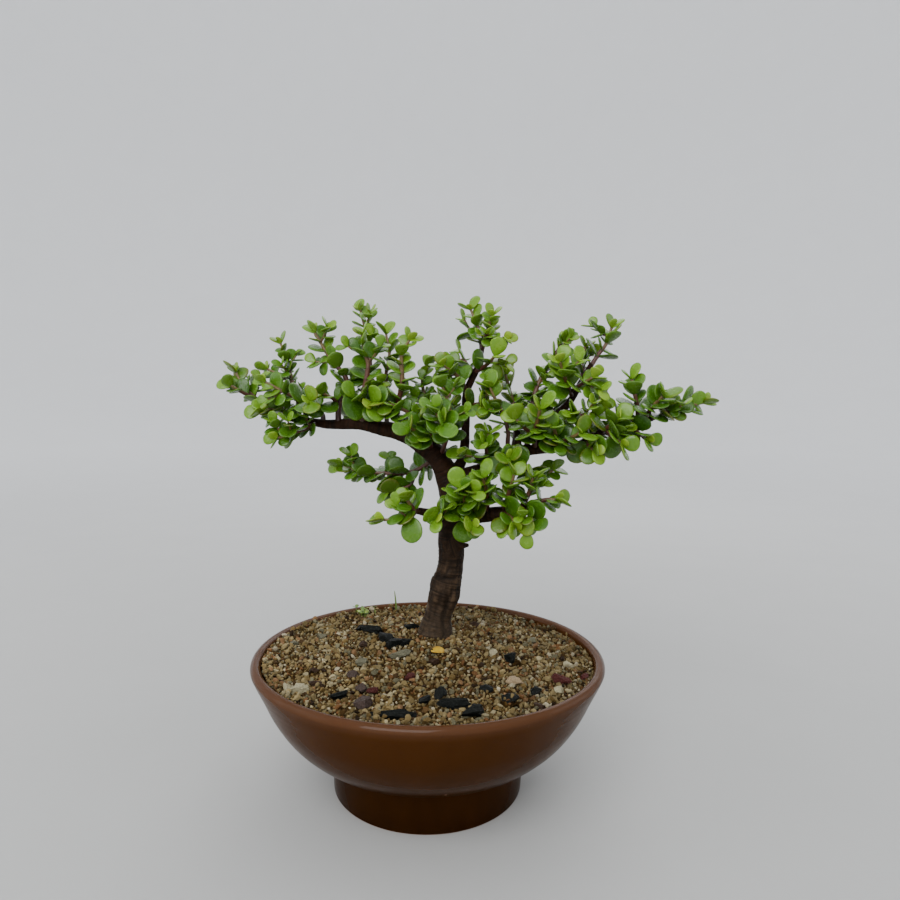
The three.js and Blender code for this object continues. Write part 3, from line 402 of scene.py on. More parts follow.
# Loose pieces on the soil: [x, y, half length, half width, half height, turn in degrees], and a colour's name
CHARCOAL = [
    [21, -96, 13, 7, 4.8, 12], [-21, -117, 17, 5, 4.2, -6], [-60, -86, 7, 6, 3.8, 30],
    [-21, 3, 8, 6, 4.8, 60],
]
STONES = [
    [-50, 36, 11, 6.5, 5, -25, "char"], [-38, 13, 11, 6.5, 4.8, -50, "char"],
    [-30, -2, 9, 6, 4.6, 20, "char"], [-17, 34, 8, 3.6, 3.8, 15, "char"], [-63, 52, 6, 3.4, 3, 60, "char"],
    [66, -20, 6.2, 5.4, 5.4, -30, "char"], [59, -91, 8.2, 6.2, 3.8, 40, "char"],
    [12, -85, 7.5, 5.5, 4.2, 70, "char"], [0, -95, 5.6, 4.4, 3.4, 20, "char"],
    [33, -112, 9.5, 6.5, 4.4, 15, "char"], [44, -73, 6, 4.4, 3.4, 0, "char"],
    [80, -75, 5.6, 5, 4.4, 50, "char"], [-38, -80, 5, 4, 3, 25, "maroon"],
    [101, -53, 8, 5.4, 4, -25, "maroon"], [120, -44, 4.5, 3.5, 2.8, 60, "maroon"],
    [-12, -56, 5, 3.6, 3, 40, "maroon"], [-46, -77, 4.5, 4, 3.4, 10, "plum"],
    [-41, -101, 8, 6.5, 4, -20, "plum"], [-54, -53, 6, 4.6, 3, 10, "plum"],
    [-86, -44, 4, 3, 2.4, 10, "umber"], [-81, -69, 6, 4, 3, 0, "umber"], [-54, 4, 5, 4.4, 3, 80, "umber"],
    [78, -100, 5, 4, 3, 10, "umber"], [6, -32, 5, 3, 2.6, -20, "umber"], [40, 60, 5, 4, 3, 30, "umber"],
    [-22, -20, 8.5, 6.5, 3.6, 35, "grey"], [-52, -29, 5.5, 4.4, 3, 60, "grey"],
    [-115, 13, 5, 4, 3, 20, "grey"], [88, 30, 5, 4, 2.8, 20, "grey"], [-95, 30, 5, 4, 3, -40, "grey"],
    [64, -58, 8.5, 6, 3.4, -10, "sand"], [-89, -82, 7.5, 5.5, 4.2, 40, "cream"],
    [-97, -81, 6, 5, 4, -20, "cream"], [112, -22, 5, 4.5, 3, 0, "cream"], [96, -71, 5, 4, 3, 30, "cream"],
    [52, -11, 4.5, 3.5, 3, 60, "cream"],
]
LUMPS = CHARCOAL + [row[:6] for row in STONES]
STONE_COLOURS = {
    "char": (0.006, 0.007, 0.006), "umber": (0.036, 0.02, 0.012), "maroon": (0.06, 0.016, 0.014),
    "plum": (0.052, 0.036, 0.03), "grey": (0.12, 0.115, 0.075), "sand": (0.27, 0.2, 0.12),
    "cream": (0.31, 0.28, 0.175),
}
# The grit's colours and how common each is.
GRIT_COLOURS = [
    ((0.22, 0.16, 0.065), 24), ((0.3, 0.23, 0.105), 20), ((0.16, 0.105, 0.035), 16), ((0.38, 0.32, 0.18), 12),
    ((0.18, 0.085, 0.03), 6), ((0.09, 0.05, 0.016), 10), ((0.17, 0.155, 0.09), 10), ((0.03, 0.016, 0.007), 4),
    ((0.48, 0.42, 0.28), 4), ((0.26, 0.145, 0.065), 6),
]
# Grains: how often a place is tried, how near the trunk they come, the size from which a grain has more
# faces, how its half sizes vary, and how high the grains of each layer lie, in half sizes.
GRAIN = {"tries": 60000, "from_trunk": 12, "finer": 3.9, "vary": ((0.8, 1.25), (0.75, 1.1), (0.6, 0.95))}
LAYERS = {"bed": 0.2, "loose": 0.75, "banked": 1.1, "heaped": 1.9}
SHARP = math.radians(24)  # edges of a broken stone that turn more than this stay sharp
# What else lies or grows on the soil, and the soil's own height at the edge, its mound round the trunk, how
# far that spreads, and how the soil tilts to the right.
FALLEN_LEAF = {"length": 12, "turn": 25, "lift": 1}
GRASS = {"x": -36, "y": 118, "above": 21, "lean": 2.5}
SPROUTS = {"x": -68, "y": 103, "spread": 13, "count": 16}
SOIL = {"edge": 104.5, "mound": 10.5, "spread": 62, "tilt": -0.012}
# The stage's soft lights: place and size in metres, and share of the key light's power.
LIGHTS = {
    "key_light": ((-0.4, -1.25, 1.1), 1.1, 1), "left_light": ((-1.5, -0.2, 0.8), 1.1, 0.16),
    "right_light": ((1.5, 0.1, 0.7), 0.9, 0.12), "back_light": ((0.3, 1.5, 1.6), 1.6, 0.5),
}


# ---- Meshes ----
def in_frame(points):
    """Points about the bowl's axis, in millimetres, as points of the frame, in metres."""
    return np.asarray(points, float).reshape(-1, 3) * MM + np.array(AXIS)


def neighbours(count):
    """Each number below count, with the one that follows it round a ring."""
    return [(i, (i + 1) % count) for i in range(count)]


def ring_faces(rings, sides, closed=False, first=0):
    """Faces between neighbouring rings of points, and from the last ring to the first where closed."""
    pairs = neighbours(rings) if closed else neighbours(rings)[:-1]
    starts = [(first + i * sides, first + k * sides) for i, k in pairs]
    return [(here + j, here + after, there + after, there + j)
            for here, there in starts for j, after in neighbours(sides)]


class Patchwork:
    """Gathers many small meshes into one, with a tone of four numbers at every point."""

    def __init__(self):
        self.points, self.tones, self.faces, self.finishes = [], [], [], []
        self.count = 0

    def add(self, points, faces, tones, finish=0):
        """Adds a mesh with one tone for all its points, or one for each."""
        points = np.asarray(points, float).reshape(-1, 3)
        self.points.append(points)
        self.tones.append(np.broadcast_to(np.asarray(tones, float), (len(points), 4)))
        self.faces.extend([tuple(i + self.count for i in face) for face in faces])
        self.finishes.extend([finish] * len(faces))
        self.count += len(points)

    def mesh(self, name, smooth=True, sharp=False):
        mesh = bpy.data.meshes.new(name)
        mesh.from_pydata(in_frame(np.vstack(self.points)).tolist(), [], self.faces)
        mesh.polygons.foreach_set("use_smooth", [smooth] * len(self.faces))
        mesh.polygons.foreach_set("material_index", self.finishes)
        set_tones(mesh, np.vstack(self.tones))
        if sharp:
            mesh.set_sharp_from_angle(angle=SHARP)
        return mesh


def set_tones(mesh, tones):
    """Stores four numbers at each point of a mesh for its finish to read."""
    layer = mesh.color_attributes.new(name="tone", type="FLOAT_COLOR", domain="POINT")
    layer.data.foreach_set("color", np.asarray(tones, np.float32).ravel())


def add_piece(name, mesh, finishes, replaced=()):
    """A piece of the object: it rides on the one body and takes its finish from a slot."""
    piece = bpy.data.objects.new(name, mesh)
    bpy.context.scene.collection.objects.link(piece)
    for finish in finishes:
        mesh.materials.append(finish)
    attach(piece, "root")
    if replaced:
        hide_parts(*replaced)


def untinted(share, distance):
    """The tone of a tube that is never seen."""
    return 0, 0, 0, 0


def kd_tree(points):
    tree = KDTree(len(points))
    for i, point in enumerate(points):
        tree.insert(point, i)
    tree.balance()
    return tree


def tube(patchwork, run, sides, step, tone=untinted, finish=0, swell=None):
    """A closed tapered tube along a run; tone(share, distance) gives the tone of each ring."""
    count = max(2, round(run.total / step))
    angles = np.arange(sides) * 2 * math.pi / sides
    side = Vector((0, 1, 0))
    points = []
    tones = []
    for i in range(count + 1):
        distance = run.total * i / count
        at, direction, radius = run.at(distance)
        side = (side - direction * side.dot(direction)).normalized()
        other = direction.cross(side)
        if swell:
            radius *= swell(distance)
        for angle in angles:
            points.append(at + side * (radius * math.cos(angle)) + other * (radius * math.sin(angle)))
        tones += [tone(i / count, distance)] * sides
    ends = [run.at(0)[0], run.at(run.total)[0]]
    faces = ring_faces(count + 1, sides)
    for j, after in neighbours(sides):
        faces.append((len(points), after, j))
        faces.append((len(points) + 1, count * sides + j, count * sides + after))
    patchwork.add(points + ends, faces, tones + [tone(0, 0), tone(1, run.total)], finish)


def lathe(patchwork, profile, sides, tones, closed):
    """A [radius, height] profile turned round the axis, with one tone for each of its points."""
    angles = np.arange(sides) * 2 * math.pi / sides
    points = [(radius * math.cos(angle), radius * math.sin(angle), height)
              for radius, height in profile for angle in angles]
    patchwork.add(points, ring_faces(len(profile), sides, closed), np.repeat(tones, sides, axis=0))


def ball(detail):
    """The points and triangles of a unit ball: 0 gives 20 triangles, 1 gives 80, 2 gives 320."""
    far = (1 + math.sqrt(5)) / 2
    corners = [(-1, far, 0), (1, far, 0), (-1, -far, 0), (1, -far, 0), (0, -1, far), (0, 1, far),
               (0, -1, -far), (0, 1, -far), (far, 0, -1), (far, 0, 1), (-far, 0, -1), (-far, 0, 1)]
    points = [Vector(corner).normalized() for corner in corners]
    faces = [(0, 11, 5), (0, 5, 1), (0, 1, 7), (0, 7, 10), (0, 10, 11), (1, 5, 9), (5, 11, 4),
             (11, 10, 2), (10, 7, 6), (7, 1, 8), (3, 9, 4), (3, 4, 2), (3, 2, 6), (3, 6, 8), (3, 8, 9),
             (4, 9, 5), (2, 4, 11), (6, 2, 10), (8, 6, 7), (9, 8, 1)]
    for _ in range(detail):
        middles = {}

        def middle(a, b, middles=middles):
            key = (min(a, b), max(a, b))
            if key not in middles:
                middles[key] = len(points)
                points.append(((points[a] + points[b]) / 2).normalized())
            return middles[key]

        finer = []
        for a, b, c in faces:
            ab, bc, ca = middle(a, b), middle(b, c), middle(c, a)
            finer += [(a, ab, ca), (b, bc, ab), (c, ca, bc), (ab, bc, ca)]
        faces = finer
    return np.array(points), faces


# ---- Finishes ----
def shade(colour, factor):
    return tuple(part * factor for part in colour)


class Finish:
    """A procedural material, built one node at a time round its Principled shader."""

    def __init__(self, name, **sockets):
        self.material = bpy.data.materials.new(name)
        self.material.use_nodes = True
        self.tree = self.material.node_tree
        self.shader = self.tree.nodes["Principled BSDF"]
        for socket, value in sockets.items():
            self.set(socket.replace("_", " "), value)

    def node(self, kind, inputs=(), **settings):
        made = self.tree.nodes.new("ShaderNode" + kind)
        for name, value in settings.items():
            setattr(made, name, value)
        for name, value in dict(inputs).items():
            self.feed(made.inputs[name], value)
        return made

    def feed(self, socket, value):
        if isinstance(value, bpy.types.NodeSocket):
            self.tree.links.new(value, socket)
        else:
            socket.default_value = value

    def set(self, socket, value):
        self.feed(self.shader.inputs[socket], value)

    def cover(self, colour, rough, relief, depth):
        """Sets the colour, the roughness and a relief of about this depth in millimetres."""
        self.set("Base Color", colour)
        self.set("Roughness", rough)
        self.set("Normal", self.node("Bump", {"Height": relief, "Distance": depth * MM}).outputs["Normal"])
        return self.material

    def place(self, stretch=(1, 1, 1)):
        spot = self.node("TexCoord").outputs["Object"]
        return self.node("Mapping", {"Vector": spot, "Scale": stretch}).outputs["Vector"]

    def noise(self, size, detail=3.0, roughness=0.5, where=None, distortion=0.0):
        """Noise with lumps of about this size in millimetres."""
        inputs = {"Scale": 1 / (size * MM), "Detail": detail, "Roughness": roughness,
                  "Distortion": distortion, "Vector": where or self.place()}
        return self.node("TexNoise", inputs).outputs["Fac"]

    def rings(self, size, distance, detail=3.0):
        """Noise drawn out across the wood: about this size in millimetres along it and far wider round it."""
        around = self.node("SeparateXYZ", {"Vector": self.place((0.08, 0.08, 0.08))})
        spot = self.node("CombineXYZ", {"X": distance, "Y": around.outputs["X"], "Z": around.outputs["Y"]})
        return self.noise(size, detail, 0.6, spot.outputs["Vector"])

    def cells(self, size, feature="F1"):
        """How far each place is from the middle, or the edge, of cells of about this size in millimetres."""
        inputs = {"Scale": 1 / (size * MM), "Vector": self.place()}
        return self.node("TexVoronoi", inputs, feature=feature).outputs["Distance"]

    def stored(self):
        return self.node("Attribute", attribute_name="tone").outputs

    def tone(self):
        """The four numbers stored at the mesh's points."""
        stored = self.stored()
        split = self.node("SeparateColor", {"Color": stored["Color"]}).outputs
        return split["Red"], split["Green"], split["Blue"], stored["Alpha"]

    def ramp(self, factor, stops):
        """A colour ramp; each stop is (position, colour)."""
        made = self.node("ValToRGB", {"Fac": factor})
        elements = made.color_ramp.elements
        while len(elements) < len(stops):
            elements.new(0.5)
        for element, (position, colour) in zip(elements, stops):
            element.position = position
            element.color = (*colour[:3], 1)
        return made.outputs["Color"]

    def span(self, value, from_low, from_high, to_low, to_high):
        """A value stretched from one range to another, and held inside it."""
        inputs = {"Value": value, "From Min": from_low, "From Max": from_high,
                  "To Min": to_low, "To Max": to_high}
        return self.node("MapRange", inputs).outputs["Result"]

    def mix(self, factor, first, second, blend="MIX"):
        made = self.node("Mix", data_type="RGBA", blend_type=blend)
        for index, value in ((0, factor), (6, first), (7, second)):
            if not isinstance(value, bpy.types.NodeSocket) and index:
                value = (*value[:3], 1)
            self.feed(made.inputs[index], value)
        return made.outputs[2]

    def sum(self, *terms):
        """The sum of (value, weight) pairs."""
        total = 0.0
        for value, weight in terms:
            made = self.node("Math", operation="MULTIPLY_ADD")
            for socket, part in zip(made.inputs, (value, weight, total)):
                self.feed(socket, part)
            total = made.outputs[0]
        return total


def glaze_finish(looks):
    """Brown glaze: redder and lighter over the lip, finely speckled, with painted shade that darkens it
    towards the foot and lightens it high on the body.
    """
    finish = Finish("brown_glaze", IOR=1.1, Coat_Roughness=0.09)
    height, lip, bare, _ = finish.tone()
    cloud = finish.noise(30, 4, 0.6, finish.place((1, 1, 0.4)))
    # painted shade: by height, the body is darker towards the foot and lighter high up
    body = finish.ramp(finish.sum((height, 0.62), (cloud, 0.3)), [
        (0.12, shade(looks.glaze, 0.45)), (0.45, looks.glaze), (0.8, shade(looks.glaze, 1.4))])
    lipped = finish.mix(lip, body, looks.lip)
    speckle = finish.span(finish.noise(1.8, 2, 0.6), 0.62, 0.74, 0, 0.2)
    speckled = finish.mix(speckle, lipped, shade(looks.glaze, 0.4))
    smooth = finish.span(finish.noise(12, 4, 0.6), 0.3, 0.75, 0.2, 0.28)
    rings = finish.noise(15, 2, 0.5, finish.place((0.25, 0.25, 2)))
    finish.set("Coat Weight", finish.sum((lip, 0.2)))
    return finish.cover(finish.mix(bare, speckled, looks.clay), finish.sum((smooth, 1.0), (bare, 0.5)),
                        finish.sum((finish.noise(9, 2), 0.5), (rings, 1.0)), 0.08)


def grit_finish():
    """Crushed stone: each grain has its own colour, with specks, a dusty surface and patches of painted
    light.
    """
    finish = Finish("crushed_grit", IOR=1.2)
    grain = finish.stored()["Color"]
    specks = finish.noise(0.9, 3, 0.7)
    dusty = finish.mix(finish.span(specks, 0.35, 0.75, 0, 0.5), grain, (0.2, 0.14, 0.08), "MULTIPLY")
    # painted light: random patches of the grains are brightened as if lit
    lit = finish.mix(finish.span(finish.noise(1.7, 2), 0.55, 0.8, 0, 0.6), dusty, (1.6, 1.6, 1.6), "MULTIPLY")
    return finish.cover(lit, finish.span(specks, 0.3, 0.7, 0.45, 0.85), specks, 0.4)


def bed_finish():
    """The fine soil seen in the gaps between the grains."""
    finish = Finish("soil_bed", IOR=1.1)
    cells = finish.cells(2.6)
    colour = finish.ramp(finish.sum((cells, 1.0), (finish.noise(3, 4, 0.7), 0.5)), [
        (0.15, (0.1, 0.055, 0.015)), (0.5, (0.055, 0.03, 0.008)), (0.95, (0.022, 0.012, 0.004))])
    return finish.cover(colour, finish.span(finish.noise(2, 2), 0.3, 0.7, 0.82, 1), cells, 1.2)


def bark_finish(looks):
    """Old jade bark: grey-brown and cracked low on the trunk, redder out along the limbs, ringed all over,
    with painted shade in its cracks and seam.
    """
    finish = Finish("jade_bark", Specular_IOR_Level=0.12)
    young, distance, groove, height = finish.tone()
    flakes = finish.noise(5, 5, 0.65, finish.place((1, 1, 0.4)), 0.6)
    fine = finish.rings(1.5, distance)
    broad = finish.rings(5, distance, 2)
    # the third tone holds painted shade in the cracks, seam and deepest ring, along with the bark's own grain
    old = finish.ramp(finish.sum((groove, 0.45), (flakes, 0.6)), [
        (0.33, shade(looks.old_bark, 0.35)), (0.5, looks.old_bark), (0.75, shade(looks.old_bark, 2.4))])
    smooth = finish.ramp(finish.sum((flakes, 0.6), (broad, 0.4)), [
        (0.3, shade(looks.limb_bark, 0.45)), (0.52, looks.limb_bark), (0.8, shade(looks.limb_bark, 1.9))])
    wood = finish.mix(young, old, smooth)
    ringed = finish.mix(finish.span(fine, 0.47, 0.62, 0, 0.75), wood, shade(looks.old_bark, 0.2))
    banded = finish.mix(finish.span(broad, 0.56, 0.66, 0, 0.45), ringed, shade(looks.old_bark, 0.3))
    dusty = finish.mix(finish.span(height, 0, 0.4, 0.25, 0), banded, (0.1, 0.072, 0.045))
    # painted shade: the bark is darkened higher up the trunk, where the crown shades it
    shaded = finish.mix(finish.span(height, 0.35, 0.8, 0, 0.75), dusty, (0.6, 0.52, 0.42), "MULTIPLY")
    relief = finish.sum((finish.noise(1.1, 4, 0.6), 0.5), (flakes, 0.6), (fine, -0.9), (broad, -0.7))
    return finish.cover(shaded, finish.span(finish.noise(3, 4, 0.6), 0.3, 0.75, 0.5, 0.85), relief, 0.75)


def twig_finish(looks):
    """A leafy stem: brown where it leaves the wood, maroon along its length and green-red at the tip."""
    finish = Finish("young_stem", Coat_Weight=0.1, Coat_Roughness=0.3)
    age, node, chance, _ = finish.tone()
    streaks = finish.noise(2.4, 3, 0.6)
    skin = finish.ramp(finish.sum((age, 1.0), (streaks, 0.3), (chance, 0.15)), [
        (0.12, looks.limb_bark), (0.34, shade(looks.stem, 0.6)), (0.75, looks.stem), (1, looks.stem_tip)])
    joints = finish.mix(finish.span(node, 0, 1, 0, 0.55), skin, shade(looks.stem, 0.35))
    return finish.cover(joints, finish.span(streaks, 0.3, 0.7, 0.36, 0.58), finish.noise(0.8, 3), 0.25)


def leaf_finish(looks):
    """A fleshy leaf: yellow-green when young, deep green when old, paler at its edge, at times blushed."""
    finish = Finish("jade_leaf", IOR=1.4, Subsurface_Weight=0.2, Subsurface_Scale=0.002,
                    Subsurface_Radius=(0.8, 1.0, 0.12))
    youth, edge, blush, under = finish.tone()
    cloud = finish.noise(6, 3, 0.6)
    dots = finish.noise(0.9, 2, 0.7)
    flesh = finish.ramp(finish.sum((youth, 0.8), (cloud, 0.3), (dots, 0.06)), [
        (0.12, looks.old_leaf), (0.42, looks.leaf), (0.68, looks.young_leaf), (0.98, looks.tip_leaf)])
    rimmed = finish.mix(finish.span(edge, 0.7, 1, 0, 0.12), flesh, looks.tip_leaf)
    pale = finish.mix(finish.span(under, 0, 1, 0, 0.35), rimmed, looks.under_leaf)
    reddened = finish.sum((finish.span(edge, 0.55, 1, 0.1, 1), blush))
    return finish.cover(finish.mix(reddened, pale, looks.blush), finish.span(cloud, 0.3, 0.7, 0.16, 0.34),
                        finish.sum((dots, 0.4), (finish.noise(3, 3), 1.0)), 0.22)


def charcoal_finish():
    """Black charcoal with a grain of fine cracks."""
    finish = Finish("charcoal", IOR=1.15)
    grain = finish.noise(2.2, 5, 0.7, finish.place((0.3, 1, 1)))
    cracks = finish.cells(2.4, "DISTANCE_TO_EDGE")
    colour = finish.ramp(finish.sum((grain, 1.0), (cracks, 0.4)), [
        (0.3, (0.002, 0.0025, 0.002)), (0.6, (0.006, 0.007, 0.006)), (0.95, (0.022, 0.022, 0.019))])
    return finish.cover(colour, finish.span(grain, 0.3, 0.7, 0.55, 0.85),
                        finish.sum((grain, 0.7), (cracks, 0.6)), 0.8)


def yellow_leaf_finish():
    """A dropped leaf: yellow, browner at its edge."""
    finish = Finish("dropped_leaf")
    cloud = finish.noise(3, 4, 0.6)
    colour = finish.ramp(finish.sum((finish.tone()[1], 0.35), (cloud, 0.7)), [
        (0.2, (0.5, 0.34, 0.012)), (0.5, (0.44, 0.26, 0.008)), (0.85, (0.24, 0.11, 0.01))])
    return finish.cover(colour, finish.span(cloud, 0.3, 0.7, 0.4, 0.65), finish.noise(1.2, 3), 0.2)


def sprout_finish():
    """Fresh green of the grass and the sprouts, lighter where they are young."""
    finish = Finish("green_sprouts", Subsurface_Weight=0.1, Subsurface_Scale=0.001)
    cloud = finish.noise(1.5, 3, 0.6)
    colour = finish.ramp(finish.sum((finish.tone()[0], 0.8), (cloud, 0.3)), [
        (0.15, (0.03, 0.075, 0.02)), (0.55, (0.12, 0.2, 0.03)), (0.95, (0.3, 0.36, 0.06))])
    return finish.cover(colour, finish.span(cloud, 0.3, 0.7, 0.45, 0.7), cloud, 0.15)


def floor_finish(looks):
    """Pale paper: deeper under the bowl and paler far out where it rises, a painted fall of light across the
    stage.
    """
    finish = Finish("pale_floor")
    cloud = finish.noise(160, 4, 0.6)
    away = finish.node("VectorMath", {"Vector": finish.place()}, operation="LENGTH").outputs["Value"]
    # painted light: the floor's colour pales with distance from the bowl
    paper = finish.mix(finish.span(away, 0.3, 3.2, 0, 1), looks.floor, looks.surround)
    return finish.cover(finish.mix(cloud, paper, (0.96, 0.96, 0.96), "MULTIPLY"),
                        finish.span(cloud, 0.3, 0.7, 0.7, 0.85), finish.noise(4, 3), 0.05)


# ---- What a user may change ----
def colour_prop(name, description, default):
    return FloatVectorProperty(name=name, description=description, default=default, subtype="COLOR",
                               min=0, max=1)


def size_prop(name, description, default, least, most):
    """A length, given here in millimetres."""
    return FloatProperty(name=name, description=description, default=default * MM, min=least * MM,
                         max=most * MM, unit="LENGTH", precision=5)


def share_prop(name, description, default, most=1):
    return FloatProperty(name=name, description=description, default=default, min=0, max=most,
                         subtype="FACTOR")


def seed_prop(description, default):
    return IntProperty(name="Seed", description=description, default=default, min=0)


class BowlLooks(bpy.types.PropertyGroup):
    """The bowl."""

    glaze: colour_prop("Glaze", "Main colour of the glaze", (0.038, 0.0125, 0.0016))
    lip: colour_prop("Lip", "Colour where the glaze thins over the lip", (0.066, 0.026, 0.0095))
    clay: colour_prop("Clay", "Bare clay on the underside of the foot", (0.3, 0.14, 0.075))
    sides: IntProperty(name="Sides", description="Steps round the turned bowl", default=160, min=24, max=360)
    throwing: size_prop("Throwing rings", "Depth of the faint rings left by turning", 0.04, 0, 1)


class SoilLooks(bpy.types.PropertyGroup):
    """The grit and what lies on it."""

    smallest: size_prop("Smallest grain", "Width of the smallest grains", 2.2, 1, 6)
    largest: size_prop("Largest grain", "Width of the largest grains", 5.6, 1, 9)
    loose: share_prop("Loose grains", "Share of grains that lie on top of the others", 0.3)
    seed: seed_prop("Which scatter of grains is drawn", 5)


class WoodLooks(bpy.types.PropertyGroup):
    """The trunk, the limbs and the skin of the leafy stems."""

    old_bark: colour_prop("Old bark", "Grey-brown bark of the lower trunk", (0.031, 0.019, 0.0105))
    limb_bark: colour_prop("Limb bark", "Smoother bark of the limbs", (0.036, 0.015, 0.0055))
    cell: size_prop("Cell", "Size of the mesh cells that fuse trunk and limbs", 0.95, 0.5, 3)
    relief: size_prop("Relief", "Depth of the bark's grooves and rings on the lower trunk", 0.75, 0, 3)
    stem: colour_prop("Young stem", "Maroon skin of the leafy stems", (0.085, 0.024, 0.013))
    stem_tip: colour_prop("Stem tip", "Skin of the newest growth", (0.13, 0.085, 0.022))


class LeafLooks(bpy.types.PropertyGroup):
    """The leaves."""

    old_leaf: colour_prop("Old leaf", "Deep green of the oldest leaves", (0.0205, 0.068, 0.004))
    leaf: colour_prop("Leaf", "Green of most leaves", (0.058, 0.15, 0.007))
    young_leaf: colour_prop("Young leaf", "Green of younger leaves", (0.125, 0.255, 0.012))
    tip_leaf: colour_prop("Tip leaf", "Yellow-green of the newest pairs", (0.27, 0.41, 0.03))
    under_leaf: colour_prop("Underside", "Paler underside", (0.1, 0.17, 0.03))
    blush: colour_prop("Blush", "Red of sun-touched edges", (0.16, 0.06, 0.022))
    between: share_prop("In-between pairs", "Size of the pairs added between the main pairs", 0.92, 1.2)
    shoots: share_prop("Side shoots", "Share of the places where a short side shoot may grow", 0.4)
    seed: seed_prop("Which scatter of small differences is drawn", 11)


class StageLooks(bpy.types.PropertyGroup):
    """Floor, light and camera."""

    floor: colour_prop("Floor", "Colour of the floor", (0.43, 0.43, 0.42))
    surround: colour_prop("Surround", "Colour of the floor far out, where it rises", (0.92, 0.92, 0.92))
    lens: FloatProperty(name="Lens", description="Focal length of the camera in millimetres",
                        default=26.88, min=10, max=200)
    pitch: FloatProperty(name="Pitch", description="How far the camera looks down",
                         default=math.radians(3.07), subtype="ANGLE")
    roll: FloatProperty(name="Roll", description="How far the camera is turned about its own line",
                        default=math.radians(0.64), subtype="ANGLE")
    sky: FloatProperty(name="Sky", description="Strength of the even light from all round",
                       default=1.2, min=0)
    key: FloatProperty(name="Key light", description="Power of the large soft light above in watts",
                       default=24, min=0)


LOOKS = {"bonsai_bowl": BowlLooks, "bonsai_soil": SoilLooks, "bonsai_wood": WoodLooks,
         "bonsai_leaf": LeafLooks, "bonsai_stage": StageLooks}


# ---- The bowl ----
def arc(centre, radius, start, end, steps):
    """Points on an arc in the profile's plane, from start to end in degrees."""
    angles = np.radians(np.linspace(start, end, steps))
    return np.stack([centre[0] + radius * np.cos(angles), centre[1] + radius * np.sin(angles)], axis=1)


class OBJECT_OT_bonsai_bowl(bpy.types.Operator):
    """Turns the glazed bowl with its foot, rounded lip and drain hole"""

    bl_idname = "object.bonsai_bowl"
    bl_label = "Bowl"

    def execute(self, context):
        looks = context.scene.bonsai_bowl
        lip = WALL / 2
        recess = 3.5
        drain = 9
        side = curve_through([[FOOT + 2, 31], [97, 40], [114, 55], [126, 72], [134, 88.5], [139.6, 100]], 8)
        side[:, 0] += looks.throwing / MM * np.sin(side[:, 1] * 1.1) * np.clip((side[:, 1] - 34) / 8, 0, 1)
        outer = np.vstack([
            arc((FOOT - 1.6, 1.6), 1.6, -90, 0, 5), [[FOOT + 0.6, 12], [FOOT + 1.2, 22], [FOOT + 1.4, 29]],
            side, arc((RIM - lip, TALL - lip), lip, -12, 180, 18)])
        inner = np.vstack([
            curve_through([[RIM - WALL, 104], [126, 86], [115, 66], [95, 48], [60, 41]], 6),
            [[40, 41], [drain + 1, 41], [drain, 40], [drain, recess + 1], [drain + 1, recess], [40, recess]],
            [[FOOT - 9, recess], [FOOT - 8, recess - 0.8], [FOOT - 7.4, 0.8], [FOOT - 6.4, 0]]])
        profile = np.vstack([outer, inner])
        across, up = profile.T
        outside = np.arange(len(profile)) < len(outer)
        over_lip = np.clip((up - (TALL - 7.5)) / 4, 0, 1) * outside
        bare = (up < 0.9) | ((up < recess + 1.5) & (across < FOOT - 6))
        tones = np.stack([up / TALL, over_lip, bare * 1.0, outside * 1.0], axis=1)
        patchwork = Patchwork()
        lathe(patchwork, profile, looks.sides, tones, closed=True)
        add_piece("glazed_bowl", patchwork.mesh("glazed_bowl"), [glaze_finish(looks)], ["bowl"])
        return {"FINISHED"}


# ---- The wood ----
class OBJECT_OT_bonsai_trunk(bpy.types.Operator):
    """Fuses the trunk, its limbs and dead stubs into one piece of wood with ringed, grooved bark"""

    bl_idname = "object.bonsai_trunk"
    bl_label = "Trunk and limbs"

    def execute(self, context):
        looks = context.scene.bonsai_wood
        patchwork = Patchwork()
        for run in WOOD:
            tube(patchwork, run, sides=28, step=1.6)
        rough = bpy.data.objects.new("rough_wood", patchwork.mesh("rough_wood"))
        context.scene.collection.objects.link(rough)
        fuse = rough.modifiers.new("Fuse", "REMESH")
        fuse.mode = "VOXEL"
        fuse.voxel_size = looks.cell
        ease = rough.modifiers.new("Ease", "SMOOTH")
        ease.factor = 0.5
        ease.iterations = 4
        mesh = bpy.data.meshes.new_from_object(rough.evaluated_get(context.evaluated_depsgraph_get()))
        bpy.data.objects.remove(rough)
        if len(mesh.vertices) < WOOD_LEAST:
            raise RuntimeError("the trunk's tubes didn't fuse")
        carve_bark(mesh, looks.relief / MM)
        mesh.polygons.foreach_set("use_smooth", [True] * len(mesh.polygons))
        mesh.materials.clear()
        add_piece("trunk_and_limbs", mesh, [bark_finish(looks)], ["trunk"])
        return {"FINISHED"}


def ridge(spot, steep):
    """1 along the lines where the noise changes sign, and 0 away from them."""
    return 1 - min(1, abs(noise.noise(spot)) * steep)


